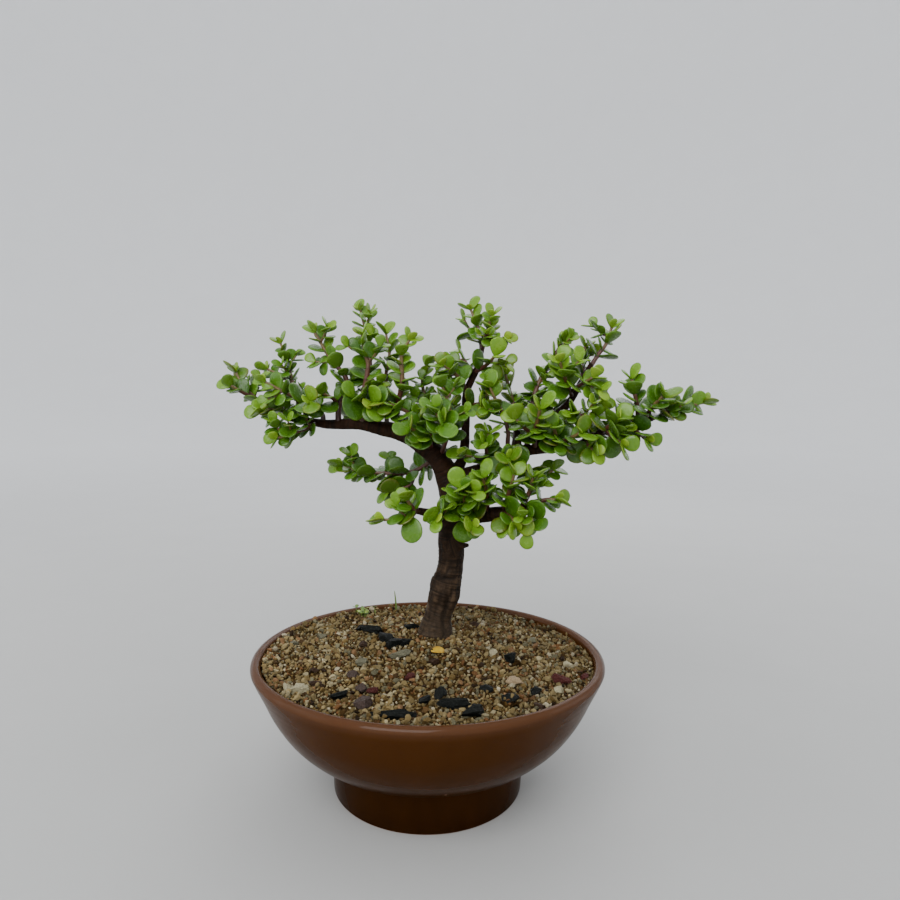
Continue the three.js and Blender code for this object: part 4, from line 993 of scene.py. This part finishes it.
def carve_bark(mesh, relief):
    """Raises cracks along the wood, rings round it and a few soft swellings, and stores them as tones, with
    painted shade darkening the cracks, the seam and the deepest ring.
    """
    spots = []
    for run in WOOD:
        for k in range(int(run.total / BARK["step"]) + 2):
            distance = k * BARK["step"]
            spots.append((*run.at(min(distance, run.total)), distance))
    tree = kd_tree([spot[0] for spot in spots])
    points, normals = np.empty((2, len(mesh.vertices) * 3))
    mesh.vertices.foreach_get("co", points)
    mesh.vertices.foreach_get("normal", normals)
    points = (points.reshape(-1, 3) - np.array(AXIS)) / MM
    shifts = []
    tones = []
    for point in map(Vector, points):
        at, direction, radius, distance = spots[tree.find(point)[1]]
        offset = point - at
        distance += offset.dot(direction)
        size = min(1, radius / BARK["thick"])
        slim = max(size, 0.4)
        groove = noise.noise(offset * 0.3 / slim + direction * distance * 0.09)
        crack = ridge(offset * 0.17 / slim + direction * distance * 0.02, 7)
        ring = ridge(Vector((distance * 0.13, offset.x * 0.03 + 4, offset.z * 0.03)), 9)
        lump = noise.noise(point * 0.07 + Vector((3, 1, 8))) + (1.1 - size) * noise.noise(point * 0.15)
        low = clamp((BARK["top"] - point.z) / 70)
        seam, knob = marks_on_trunk(point, offset)
        deep = low * 0.38 * crack + 0.9 * seam
        shift = relief * size * (0.5 * groove * (0.4 + 0.6 * low) - 0.5 * ring + 1.1 * lump)
        shifts.append(shift + 1.6 * knob - 1.3 * deep)
        # painted shade: the cracks, the seam and the deepest ring are darkened where they sink in; the groove
        # noise and the fine ring lines are the bark's own marks
        grain_and_hollow_shade = 0.54 + 0.45 * groove - 0.5 * deep - 0.14 * ring
        tones.append((1 - low, distance * MM, grain_and_hollow_shade, clamp((point.z - BARK["foot"]) / 110)))
    moved = points + normals.reshape(-1, 3) * np.array(shifts)[:, None]
    mesh.vertices.foreach_set("co", in_frame(moved).ravel())
    mesh.update()
    set_tones(mesh, tones)


def marks_on_trunk(point, offset):
    """How deep the seam or the deepest ring is at a point, and how high the knob, from 0 to 1."""
    if not 100 < point.z < 185:
        return 0, 0
    turn = math.atan2(offset.y, offset.x)
    away = (turn - TRUNK_SEAM["turn"] - 0.12 * math.sin(point.z * 0.12)) * 12
    seam = clamp((TRUNK_SEAM["top"] - point.z) / 12) * bell(away, 1.7)
    ring = bell(point.z - TRUNK_RING, 1.1) * clamp(0.4 - 0.8 * math.sin(turn))
    return max(seam, ring), bell((point - TRUNK_KNOB).length, 6)


# ---- The leafy stems ----
def solid_leaf(leaf):
    """The corners and faces of the plain faceted leaf that the frame's stems hold."""
    base, direction, face, length = leaf
    across = direction.cross(face)
    half = LEAF["width"] * length / 2
    high = LEAF["thick"] / 2

    def spot(share, wide, rise=0):
        return base + direction * (share * length) + across * (wide * half) + face * rise

    edge = [spot(0, 0)] + [spot(share, wide) for share, wide in LEAF_EDGE] + [spot(1, 0)]
    edge += [spot(share, -wide) for share, wide in reversed(LEAF_EDGE)]
    count = len(edge)
    faces = []
    for i, after in neighbours(count):
        faces += [(i, after, count), (after, i, count + 1)]
    return edge + [spot(LEAF_BELLY, 0, high), spot(LEAF_BELLY, 0, -high)], faces


def leaf_turns(at, direction, turn, rise, roll, length, light=LEAF["light"]):
    """Every turn about the stem, and size, that a leaf may take there, as (base, direction, face, length)."""
    sight = UP if abs(direction.y) > 0.85 else Vector((0, 1, 0))
    u = direction.cross(sight).normalized()
    v = direction.cross(u)
    turns = []
    for bend, shrink in LEAF_BENDS:
        angle = math.radians(turn + bend)
        out = u * math.cos(angle) + v * math.sin(angle)
        grown = out * math.cos(rise) + direction * math.sin(rise)
        face = direction * math.cos(rise) - out * math.sin(rise)
        lit = LIGHT - grown * LIGHT.dot(grown)
        to_light = math.atan2(lit.dot(grown.cross(face)), lit.dot(face))
        face = Matrix.Rotation(light * to_light + roll, 3, grown) @ face
        turns.append((at, grown, face, length * shrink))
    return turns


def at_share(ends, share):
    """A value that starts at the first number and changes by the second towards the tip."""
    start, change = ends
    return start + change * share


def main_leaves(twig, draw):
    """The pairs that a twig has in the frame, as (share along the leafy part, turns), in drawing order."""
    leaves = []
    for p in range(twig.pairs + 1):
        share = p / twig.pairs
        at, direction, _ = twig.leafy(share, LAST_PAIR)
        for opposite in (0, 180):
            length = twig.leaf * at_share(LEAF["size"], share) * (1 + LEAF["vary"] * (2 * draw() - 1))
            rise = math.radians(at_share(LEAF["rise"], share) + LEAF["tilt"] * (draw() - 0.5))
            turn = twig.turn + 90 * p + opposite + LEAF["swing"] * (2 * draw() - 1)
            roll = math.radians(LEAF["roll"] * (2 * draw() - 1))
            leaves.append((share, leaf_turns(at, direction, turn, rise, roll, length)))
    return leaves


def pair_of_leaves(spot, share, turn, length, habit, rng):
    """An added pair at a spot of a twig, which grows as its habit says."""
    at, direction, _ = spot
    pair = []
    for opposite in (0, 180):
        size = length * at_share(habit["size"], share) * rng.uniform(*habit["vary"])
        rise = math.radians(at_share(habit["rise"], share) + stray(habit["tilt"], rng))
        angle = turn + opposite + stray(habit["swing"], rng)
        roll = math.radians(stray(habit["roll"], rng))
        pair.append((share, leaf_turns(at, direction, angle, rise, roll, size, LEAF_SEEN)))
    return pair


def added_leaves(twig, size, rng):
    """Pairs between the main ones, and a small upright pair at the tip."""
    leaves = []
    for p in range(twig.pairs):
        share = (p + 0.5) / twig.pairs
        turn = twig.turn + 90 * p + 45
        leaves += pair_of_leaves(twig.leafy(share), share, turn, twig.leaf * size, BETWEEN, rng)
    at, direction, _ = twig.at(twig.total)
    for opposite in (0, 180):
        length = twig.leaf * rng.uniform(*TIP["vary"])
        turn = twig.turn + 90 * (twig.pairs + 1) + opposite + stray(TIP["swing"], rng)
        rise = math.radians(rng.uniform(*TIP["rise"]))
        leaves.append((TIP["share"], leaf_turns(at, direction, turn, rise, 0, length)))
    return leaves


def side_shoots(twig, share, rng):
    """Short side shoots of a twig, as (run, leaves): each has two or three small pairs of leaves."""
    start = SHOOT["first"] * twig.first
    shoots = []
    for k in range(int((twig.total - start) / SHOOT["gap"])):
        at, direction, radius = twig.at(start + SHOOT["gap"] * (k + rng.uniform(0.2, 0.8)))
        out = Vector((rng.gauss(0, 1), rng.gauss(0, 1), rng.gauss(0.25, 1)))
        out = (out - direction * out.dot(direction)).normalized()
        way = (out + direction * rng.uniform(0.2, 0.7)).normalized()
        length = rng.uniform(*SHOOT["length"])
        if rng.random() > share:
            continue
        bend = at + way * length * 0.5
        tip = at + way * length + UP * (0.15 * length)
        thin = min(radius, SHOOT["radius"])
        line = Run(curve_through([(*at, thin), (*bend, thin * 0.85), (*tip, thin * 0.6)], 4))
        pairs = 2 if length < SHOOT["long"] else 3
        leaves = []
        for p in range(pairs):
            part = (p + 1) / pairs
            spot = line.at(line.total * part * 0.99)
            leaves += pair_of_leaves(spot, part, 90 * p, twig.leaf * SHOOT["leaf"], SHOOT, rng)
        shoots.append((line, leaves))
    return shoots


class Crowd:
    """The leaves, stems and wood placed so far, to keep added leaves clear of them."""

    most = 4000  # room for this many leaves and short stretches

    def __init__(self):
        self.spots = np.empty((self.most, 4))  # centre and reach
        self.trees, self.owners = [], []

    @staticmethod
    def spot(points):
        """The centre of some points, and how far they reach from it."""
        centre = sum(points, Vector()) / len(points)
        return *centre, max((point - centre).length for point in points)

    def put(self, points, faces, owner):
        self.spots[len(self.trees)] = self.spot(points)
        self.trees.append(BVHTree.FromPolygons(points, faces))
        self.owners.append(owner)

    def put_leaf(self, leaf, stem):
        self.put(*solid_leaf(leaf), stem + "'s leaf")

    def fence(self, run, owner):
        """Puts in short stretches of a stem or limb."""
        pieces = max(1, round(run.total / 20))
        for k in range(pieces):
            ends = [run.at(run.total * (k + part) / pieces) for part in (0, 0.5, 1)]
            patchwork = Patchwork()
            tube(patchwork, Run([(*at, radius) for at, _, radius in ends]), sides=5, step=12)
            self.put([Vector(point) for point in patchwork.points[0]], patchwork.faces, owner)

    def first_clear(self, turns, stem):
        """The first of a leaf's turns that touches nothing but its own stem, or None."""
        spots = self.spots[: len(self.trees)]
        for turn in turns:
            points, faces = solid_leaf(turn)
            *centre, reach = self.spot(points)
            near = np.nonzero(np.linalg.norm(spots[:, :3] - centre, axis=1) < spots[:, 3] + reach)[0]
            tree = BVHTree.FromPolygons(points, faces)
            if not any(self.owners[i] != stem and self.trees[i].overlap(tree) for i in near):
                return turn
        return None


def as_in_frame(turns, corners):
    """The turn that the frame's leaf took, or None where the frame left it out."""
    best, found = None, 2
    for turn in turns:
        points, _ = solid_leaf(turn)
        count = sum(corners.find(point)[2] < LEAF_MATCH for point in points[1:])
        if count > found:
            best, found = turn, count
    return best


def leaf_shape():
    """A leaf's shape as arrays over its points (share of length, side, height), and its faces."""
    inner = (1 - np.cos(math.pi * np.arange(1, LEAF_RINGS) / LEAF_RINGS)) / 2
    angles = 2 * math.pi * np.arange(LEAF_SIDES) / LEAF_SIDES
    share = np.concatenate([[0], np.repeat(inner, LEAF_SIDES), [1]])
    side = np.concatenate([[0], np.tile(np.cos(angles), len(inner)), [0]])
    high = np.concatenate([[0], np.tile(np.sin(angles), len(inner)), [0]])
    faces = ring_faces(len(inner), LEAF_SIDES, first=1)
    last = len(share) - 1
    for j, after in neighbours(LEAF_SIDES):
        faces += [(0, 1 + after, 1 + j), (last, last - LEAF_SIDES + j, last - LEAF_SIDES + after)]
    return share, side, high, faces


LEAF_SHAPE = leaf_shape()


def fleshy_leaf(patchwork, leaf, rng, youth, blush, plump):
    """A round-ended fleshy leaf with a short stalk, a faint middle crease and slightly raised edges."""
    base, direction, face, length = leaf
    share, side, high, faces = LEAF_SHAPE
    width = LEAF["width"] * length / 2 * rng.uniform(0.92, 1.06)
    thick = LEAF["thick"] / 2 * plump * min(1, length / 15)
    stalk = LEAF_STALK * (1 - share) ** 7
    fullest = rng.uniform(0.54, 0.66)
    lean = 0.5 * fullest / (1 - fullest)
    round_end = (share / fullest) ** lean * np.sqrt(np.maximum(0, (1 - share) / (1 - fullest)))
    round_end = round_end * (1 - rng.uniform(0, 0.1) * bell(share - 0.93, 0.05))
    half = width * round_end + stalk
    belly = thick * np.sqrt(np.maximum(0, 4 * share * (1 - share))) * (0.85 + 0.3 * share) + stalk
    cup = rng.uniform(0.2, 1.1) * length / 16
    droop = rng.uniform(-0.3, 1.2) * length / 16
    crease = 0.22 * bell(side, 0.22) * (high > 0) * share * (1 - share) * 4
    lift = belly * high + cup * (side * round_end) ** 2 - droop * share**2 - crease
    twist = stray(0.12, rng) * share * side * half
    points = (np.array(base) + np.outer(share * length, direction)
              + np.outer(side * half, direction.cross(face)) + np.outer(lift + twist, face))
    edge = np.maximum(np.abs(side), np.clip((share - 0.86) / 0.14, 0, 1)) * np.clip(share * 4, 0, 1)
    even = np.ones(len(share))
    patchwork.add(points, faces, np.stack([youth * even, edge, blush * even, (high < -0.1) * 1.0], axis=1))


def grow(name, leaves, sprigs, finishes, rng):
    """Makes one leafy stem of its leaves, twigs and side shoots."""
    patchwork = Patchwork()
    mood = stray(YOUTH["vary"], rng)
    for share, leaf in leaves:
        youth = YOUTH["oldest"] + YOUTH["along"] * min(share, 1) ** 1.6 + YOUTH["tip"] * (share > 1)
        youth += mood + stray(YOUTH["vary"], rng) + YOUTH["high"] * max(0, (leaf[0].z - 290) / 120)
        blush = max(0, rng.uniform(-1.6, 0.5))
        fleshy_leaf(patchwork, leaf, rng, youth, blush, plump=1.05)
    for twig in STEMS[name]:
        chance = rng.random()
        tube(patchwork, twig, sides=10, step=1.5, finish=1,
             tone=lambda share, distance: (share, min(1, twig.knot(distance)), chance, 1),
             swell=lambda distance: 1 + 0.2 * twig.knot(distance))
    for line in sprigs:
        tube(patchwork, line, sides=7, step=1.5, finish=1,
             tone=lambda share, distance: (0.55 + 0.4 * share, 0, 0.5, 1))
    add_piece("leafy_" + name, patchwork.mesh("leafy_" + name), finishes, ["stem_" + name])


class OBJECT_OT_bonsai_leaves(bpy.types.Operator):
    """Grows the leafy stems: each keeps the pairs of leaves that its solid has and adds finer ones between"""

    bl_idname = "object.bonsai_leaves"
    bl_label = "Leafy stems"

    def execute(self, context):
        looks = context.scene.bonsai_leaf
        draw = drawer(LEAF["seed"])
        rng = random.Random(looks.seed)
        crowd = Crowd()
        for run in WOOD:
            crowd.fence(run, "wood")
        for name, twigs in STEMS.items():
            for twig in twigs:
                crowd.fence(twig, name)
        kept, spare, sprigs = ({name: [] for name in STEMS} for _ in range(3))
        for name, twigs in STEMS.items():
            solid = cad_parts["stem_" + name].data
            corners = kd_tree([(corner.co - AXIS) / MM for corner in solid.vertices])
            for share, turns in [leaf for twig in twigs for leaf in main_leaves(twig, draw)]:
                found = as_in_frame(turns, corners)
                if found:
                    kept[name].append((share, found))
                    crowd.put_leaf(found, name)
                else:
                    spare[name].append((share, turns))
        for name, twigs in STEMS.items():
            for twig in twigs:
                spare[name] += added_leaves(twig, looks.between, rng)
            for share, turns in spare[name]:
                found = crowd.first_clear(turns, name)
                if found:
                    kept[name].append((share, found))
                    crowd.put_leaf(found, name)
        for name, twigs in STEMS.items():
            for line, leaves in [shoot for twig in twigs for shoot in side_shoots(twig, looks.shoots, rng)]:
                clear = [(share, crowd.first_clear(turns, name)) for share, turns in leaves]
                clear = [(share, leaf) for share, leaf in clear if leaf]
                if len(clear) < SHOOT["fewest"]:
                    continue
                for _, leaf in clear:
                    crowd.put_leaf(leaf, name)
                kept[name] += clear
                sprigs[name].append(line)
        count = sum(len(leaves) for leaves in kept.values())
        if count < LEAVES_LEAST:
            raise RuntimeError(f"only {count} leaves found their places")
        finishes = [leaf_finish(looks), twig_finish(context.scene.bonsai_wood)]
        for name in STEMS:
            grow(name, kept[name], sprigs[name], finishes, rng)
        return {"FINISHED"}


# ---- The soil and what lies on it ----
def soil_height(x, y):
    """Height of the soil, mounded round the trunk."""
    away = math.hypot(x - TRUNK_FOOT.x, y - TRUNK_FOOT.y)
    return SOIL["edge"] + SOIL["mound"] * bell(away, SOIL["spread"]) + SOIL["tilt"] * x


def soil_surface():
    """Returns a function that gives the top of the frame's soil at a place, in millimetres."""
    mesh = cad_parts["soil"].data
    tree = BVHTree.FromPolygons([v.co for v in mesh.vertices], [tuple(p.vertices) for p in mesh.polygons])

    def top(x, y):
        spot, _, _, _ = tree.ray_cast(AXIS + Vector((x, y, 200)) * MM, -UP)
        height = soil_height(x, y)
        return height if spot is None else max(spot.z / MM, height - 3)

    return top


def on_stone(x, y):
    """Whether a place is on one of the larger stones or lumps of charcoal."""
    for at_x, at_y, long, wide, _, turn in LUMPS:
        spot = Vector((x - at_x, y - at_y))
        if spot.length < long:
            spot.rotate(Matrix.Rotation(-math.radians(turn), 2))
            if math.hypot(spot.x / long, spot.y / wide) < 0.9:
                return True
    return False


def by_rim(x, y):
    """How thickly extra grains are banked up against the rim, most of all on the left."""
    return clamp((math.hypot(x, y) - 116) / 12) * (0.75 - 0.5 * x / RIM)


def crushed(points, rng, cuts, near, far):
    """A ball's points with flat cuts at random distances from its centre, as crushed stone breaks."""
    for _ in range(cuts):
        way = np.array([rng.gauss(0, 1) for _ in range(3)])
        way /= np.linalg.norm(way)
        over = np.maximum(0, points @ way - rng.uniform(near, far))
        points = points - np.outer(over, way)
    return points


def put_spun(patchwork, points, faces, spin, centre, tone):
    """Adds a lump that is turned about its own middle."""
    patchwork.add(points @ np.array(spin).T + np.array(centre), faces, tone)


def rough_lump(patchwork, rng, row, height, tone, shape):
    """A broken stone of the given half sizes: a ball with flat cuts, stretched, roughened and turned."""
    x, y, long, wide, high, turn = row
    points, faces = shape
    seed = Vector([rng.uniform(0, 90) for _ in range(3)])
    broken = crushed(points, rng, cuts=11, near=0.4, far=0.8)
    grain = [noise.noise(Vector(p) * 2.5 + seed) + 0.5 * noise.noise(Vector(p) * 6 + seed) for p in points]
    broken = broken * (1 + 0.16 * np.array(grain))[:, None]
    broken /= np.abs(broken).max(axis=0)
    spin = Matrix.Rotation(math.radians(turn), 3, "Z")
    put_spun(patchwork, broken * (long, wide, high), faces, spin, (x, y, height), tone)


def grain_of_grit(patchwork, rng, centre, sizes, tone, shape):
    """A small crushed grain, turned any way round."""
    points, faces = shape
    chipped = crushed(points, rng, cuts=7, near=0.35, far=0.8) * 1.2
    axis = Vector([stray(1, rng) for _ in range(3)]).normalized()
    spin = Matrix.Rotation(rng.uniform(0, 2 * math.pi), 3, axis)
    put_spun(patchwork, chipped * sizes, faces, spin, centre, tone)


def scatter(rng, smallest, largest):
    """Places and sizes of grains that lie side by side inside the bowl and round the trunk."""
    reach = RIM - WALL
    grid = {}
    spots = []
    for _ in range(GRAIN["tries"]):
        angle = rng.uniform(0, 2 * math.pi)
        away = reach * math.sqrt(rng.random())
        x, y = away * math.cos(angle), away * math.sin(angle)
        size = smallest + (largest - smallest) * rng.random() ** 1.7
        if away > reach - size / 2 or math.hypot(x - TRUNK_FOOT.x, y - TRUNK_FOOT.y) < GRAIN["from_trunk"]:
            continue
        column, row = int(x // largest), int(y // largest)
        around = [(column + i, row + j) for i in (-1, 0, 1) for j in (-1, 0, 1)]
        near = [grain for key in around for grain in grid.get(key, ())]
        if any(math.hypot(x - a, y - b) < 0.4 * (size + other) for a, b, other in near):
            continue
        grid.setdefault((column, row), []).append((x, y, size))
        spots.append((x, y, size))
    return spots


class OBJECT_OT_bonsai_grit(bpy.types.Operator):
    """Covers the soil with crushed grit and the larger stones and chips that lie on it"""

    bl_idname = "object.bonsai_grit"
    bl_label = "Grit and stones"

    def execute(self, context):
        looks = context.scene.bonsai_soil
        rng = random.Random(looks.seed)
        top = soil_surface()
        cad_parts["soil"].material_slots[0].material = bed_finish()
        finish = grit_finish()
        span = looks.smallest / MM, looks.largest / MM
        spots = scatter(rng, *span)
        loose = [(x, y, size * 0.9) for x, y, size in scatter(rng, *span)]
        rng.shuffle(loose)
        banked = [grain for grain in loose if by_rim(*grain[:2]) > rng.random()]
        heaped = [grain for grain in spots if by_rim(*grain[:2]) - 0.25 > rng.random()]
        layers = {"bed": spots, "loose": loose[: int(len(spots) * looks.loose)], "banked": banked,
                  "heaped": heaped}
        grains = [(*grain, LAYERS[layer]) for layer, found in layers.items() for grain in found
                  if layer == "bed" or not on_stone(*grain[:2])]
        shapes = [ball(0), ball(1)]
        beds = [Patchwork(), Patchwork(), Patchwork()]
        colours, weights = zip(*GRIT_COLOURS)
        for i, (x, y, size, lift) in enumerate(grains):
            colour = rng.choices(colours, weights)[0]
            # random darker and lighter patches, and darker towards the right
            patchy_darker_right = 0.76 + 0.3 * noise.noise(Vector((x * 0.06, y * 0.06, 2))) - 0.12 * x / RIM
            colour = shade(colour, patchy_darker_right * rng.uniform(0.72, 1.14))
            sizes = [size / 2 * rng.uniform(*vary) for vary in GRAIN["vary"]]
            hump = 0.8 * noise.noise(Vector((x * 0.11, y * 0.11, 6)))
            centre = (x, y, top(x, y) + lift * size * 0.5 + hump)
            grain_of_grit(beds[i % 3], rng, centre, sizes, (*colour, 1), shapes[size > GRAIN["finer"]])
        for i, bed in enumerate(beds):
            add_piece(f"grit_{i + 1}", bed.mesh(f"grit_{i + 1}", smooth=False), [finish])
        stones = Patchwork()
        shape = ball(3)
        for *row, colour in STONES:
            height = soil_height(row[0], row[1]) + 0.85 * row[4]
            rough_lump(stones, rng, row, height, (*STONE_COLOURS[colour], 1), shape)
        add_piece("stones", stones.mesh("stones", sharp=True), [finish])
        return {"FINISHED"}


class OBJECT_OT_bonsai_charcoal(bpy.types.Operator):
    """Makes the four large lumps of charcoal, split and grained, where the frame has them"""

    bl_idname = "object.bonsai_charcoal"
    bl_label = "Charcoal"

    def execute(self, context):
        finish = charcoal_finish()
        rng = random.Random(2)
        shape = ball(4)
        for i, row in enumerate(CHARCOAL):
            name = f"charcoal_{i + 1}"
            low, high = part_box(name)
            patchwork = Patchwork()
            rough_lump(patchwork, rng, row, (low.z + high.z) / 2 / MM, (0, 0, 0, 0), shape)
            mesh = patchwork.mesh(name + "_lump", sharp=True)
            add_piece(name + "_lump", mesh, [finish], [name])
        return {"FINISHED"}


class OBJECT_OT_bonsai_litter(bpy.types.Operator):
    """Lays the yellow leaf on the grit and grows the grass blade and the small tuft of sprouts"""

    bl_idname = "object.bonsai_litter"
    bl_label = "Yellow leaf, grass and sprouts"

    def execute(self, context):
        rng = random.Random(3)
        self.yellow_leaf(rng)
        finish = sprout_finish()
        self.grass(finish)
        self.sprouts(rng, finish)
        return {"FINISHED"}

    @staticmethod
    def yellow_leaf(rng):
        low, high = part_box("fallen_leaf")
        turn = math.radians(FALLEN_LEAF["turn"])
        direction = Vector((math.cos(turn), math.sin(turn), 0))
        length = FALLEN_LEAF["length"]
        base = ((low + high) / 2 - AXIS) / MM - direction * length / 2
        leaf = (base + UP * FALLEN_LEAF["lift"], direction, Vector((0, -0.2, 1)).normalized(), length)
        patchwork = Patchwork()
        fleshy_leaf(patchwork, leaf, rng, youth=0.5, blush=0, plump=0.7)
        add_piece("yellow_leaf", patchwork.mesh("yellow_leaf"), [yellow_leaf_finish()],
                  ["fallen_leaf"])

    @staticmethod
    def blade(patchwork, foot, tip, width, tone):
        """A thin pointed blade that bows over towards its tip."""
        foot, tip = Vector(foot), Vector(tip)
        bow = foot.lerp(tip, 0.5) + UP * ((tip - foot).length * 0.12)
        run = Run(curve_through([(*foot, width), (*bow, width * 0.9), (*tip, width * 0.3)], 6))
        tube(patchwork, run, sides=6, step=1.2, tone=lambda share, distance: (tone + 0.3 * share, 0, 0, 1))

    def grass(self, finish):
        x, y = GRASS["x"], GRASS["y"]
        height = soil_height(x, y)
        patchwork = Patchwork()
        self.blade(patchwork, (x, y, height - 6), (x - GRASS["lean"], y, height + GRASS["above"]), 1, 0.25)
        add_piece("grass", patchwork.mesh("grass"), [finish], ["grass_blade"])

    def sprouts(self, rng, finish):
        patchwork = Patchwork()
        for i in range(SPROUTS["count"]):
            x = SPROUTS["x"] + rng.gauss(0, 0.5) * SPROUTS["spread"]
            y = SPROUTS["y"] + rng.gauss(0, 0.3) * SPROUTS["spread"]
            if math.hypot(x, y) > RIM - WALL - 3:
                continue
            height = soil_height(x, y)
            tall = rng.uniform(2, 5) if i % 6 else rng.uniform(7, 9)
            lean = stray(3, rng)
            tip = Vector((x + lean, y + stray(2, rng), height + tall))
            self.blade(patchwork, (x, y, height - 1), tip, 0.45, rng.uniform(0.2, 0.5))
            for _ in range(2):
                turn = rng.uniform(0, 2 * math.pi)
                out = Vector((math.cos(turn), math.sin(turn), rng.uniform(0.2, 0.8))).normalized()
                leaf = (tip, out, (UP - out * out.z).normalized(), rng.uniform(3.5, 5.5))
                fleshy_leaf(patchwork, leaf, rng, rng.uniform(0.2, 0.9), blush=0, plump=0.8)
        add_piece("sprouts", patchwork.mesh("sprouts"), [finish])


# ---- The stage ----
class SCENE_OT_bonsai_stage(bpy.types.Operator):
    """Sets the pale floor, the soft lights and the camera"""

    bl_idname = "scene.bonsai_stage"
    bl_label = "Stage"

    def execute(self, context):
        looks = context.scene.bonsai_stage
        scene = context.scene
        floor = bpy.data.objects.new("floor", self.sweep())
        floor.data.materials.append(floor_finish(looks))
        scene.collection.objects.link(floor)
        for name, (place, size, share) in LIGHTS.items():
            scene.collection.objects.link(self.light(name, place, size, looks.key * share))
        scene.world = bpy.data.worlds.new("even_light")
        scene.world.use_nodes = True
        sky = scene.world.node_tree.nodes["Background"]
        sky.inputs["Color"].default_value = (0.93, 0.96, 1, 1)
        sky.inputs["Strength"].default_value = looks.sky
        lens = bpy.data.cameras.new("camera")
        lens.lens = looks.lens
        lens.sensor_width = 36
        lens.clip_start = 0.01
        scene.camera = bpy.data.objects.new("camera", lens)
        place = Matrix.Translation(AXIS + Vector((EYE.x + ELEVATION.x, EYE.y, EYE.z)) * MM)
        tilt = Matrix.Rotation(math.pi / 2 - looks.pitch, 4, "X") @ Matrix.Rotation(looks.roll, 4, "Z")
        scene.camera.matrix_world = place @ tilt
        scene.collection.objects.link(scene.camera)
        return {"FINISHED"}

    @staticmethod
    def sweep():
        """A round floor that curves up into a pale surround, so that no edge of it shows."""
        flat, bend, top = 2400, 2600, 5200
        curve = arc((flat, bend), bend, -90, 0, 16)
        profile = np.vstack([[[0, 0], [700, 0], [1500, 0]], curve, [[flat + bend, top]]])
        patchwork = Patchwork()
        lathe(patchwork, profile[::-1], 72, np.ones((len(profile), 4)), closed=False)
        return patchwork.mesh("floor")

    @staticmethod
    def light(name, place, size, power):
        """A large soft square light that faces the plant."""
        lamp = bpy.data.lights.new(name, "AREA")
        lamp.size = size
        lamp.energy = power
        holder = bpy.data.objects.new(name, lamp)
        holder.location = place
        towards = Vector((0, 0, 0.2)) - Vector(place)
        holder.rotation_euler = towards.to_track_quat("-Z", "Y").to_euler()
        return holder


# ---- The add-on ----
STEPS = (OBJECT_OT_bonsai_bowl, OBJECT_OT_bonsai_trunk, OBJECT_OT_bonsai_leaves, OBJECT_OT_bonsai_grit,
         OBJECT_OT_bonsai_charcoal, OBJECT_OT_bonsai_litter, SCENE_OT_bonsai_stage)


class VIEW3D_PT_bonsai(bpy.types.Panel):
    """Lists the steps and their settings in the sidebar"""

    bl_idname = "VIEW3D_PT_bonsai"
    bl_label = "Jade Bonsai"
    bl_space_type = "VIEW_3D"
    bl_region_type = "UI"
    bl_category = "Jade Bonsai"

    def draw(self, context):
        for step in STEPS:
            self.layout.operator(step.bl_idname)
        for name, group in LOOKS.items():
            box = self.layout.box()
            box.label(text=group.__doc__)
            looks = getattr(context.scene, name)
            for field in group.__annotations__:
                box.prop(looks, field)


CLASSES = (*LOOKS.values(), *STEPS, VIEW3D_PT_bonsai)


def register():
    for made in CLASSES:
        bpy.utils.register_class(made)
    for name, group in LOOKS.items():
        setattr(bpy.types.Scene, name, PointerProperty(type=group))


def unregister():
    for name in LOOKS:
        delattr(bpy.types.Scene, name)
    for made in reversed(CLASSES):
        bpy.utils.unregister_class(made)


def main():
    """Registers the add-on and runs every step in order."""
    register()
    bpy.ops.object.bonsai_bowl()
    bpy.ops.object.bonsai_trunk()
    bpy.ops.object.bonsai_leaves()
    bpy.ops.object.bonsai_grit()
    bpy.ops.object.bonsai_charcoal()
    bpy.ops.object.bonsai_litter()
    bpy.ops.scene.bonsai_stage()


if __name__ == "__main__":
    main()
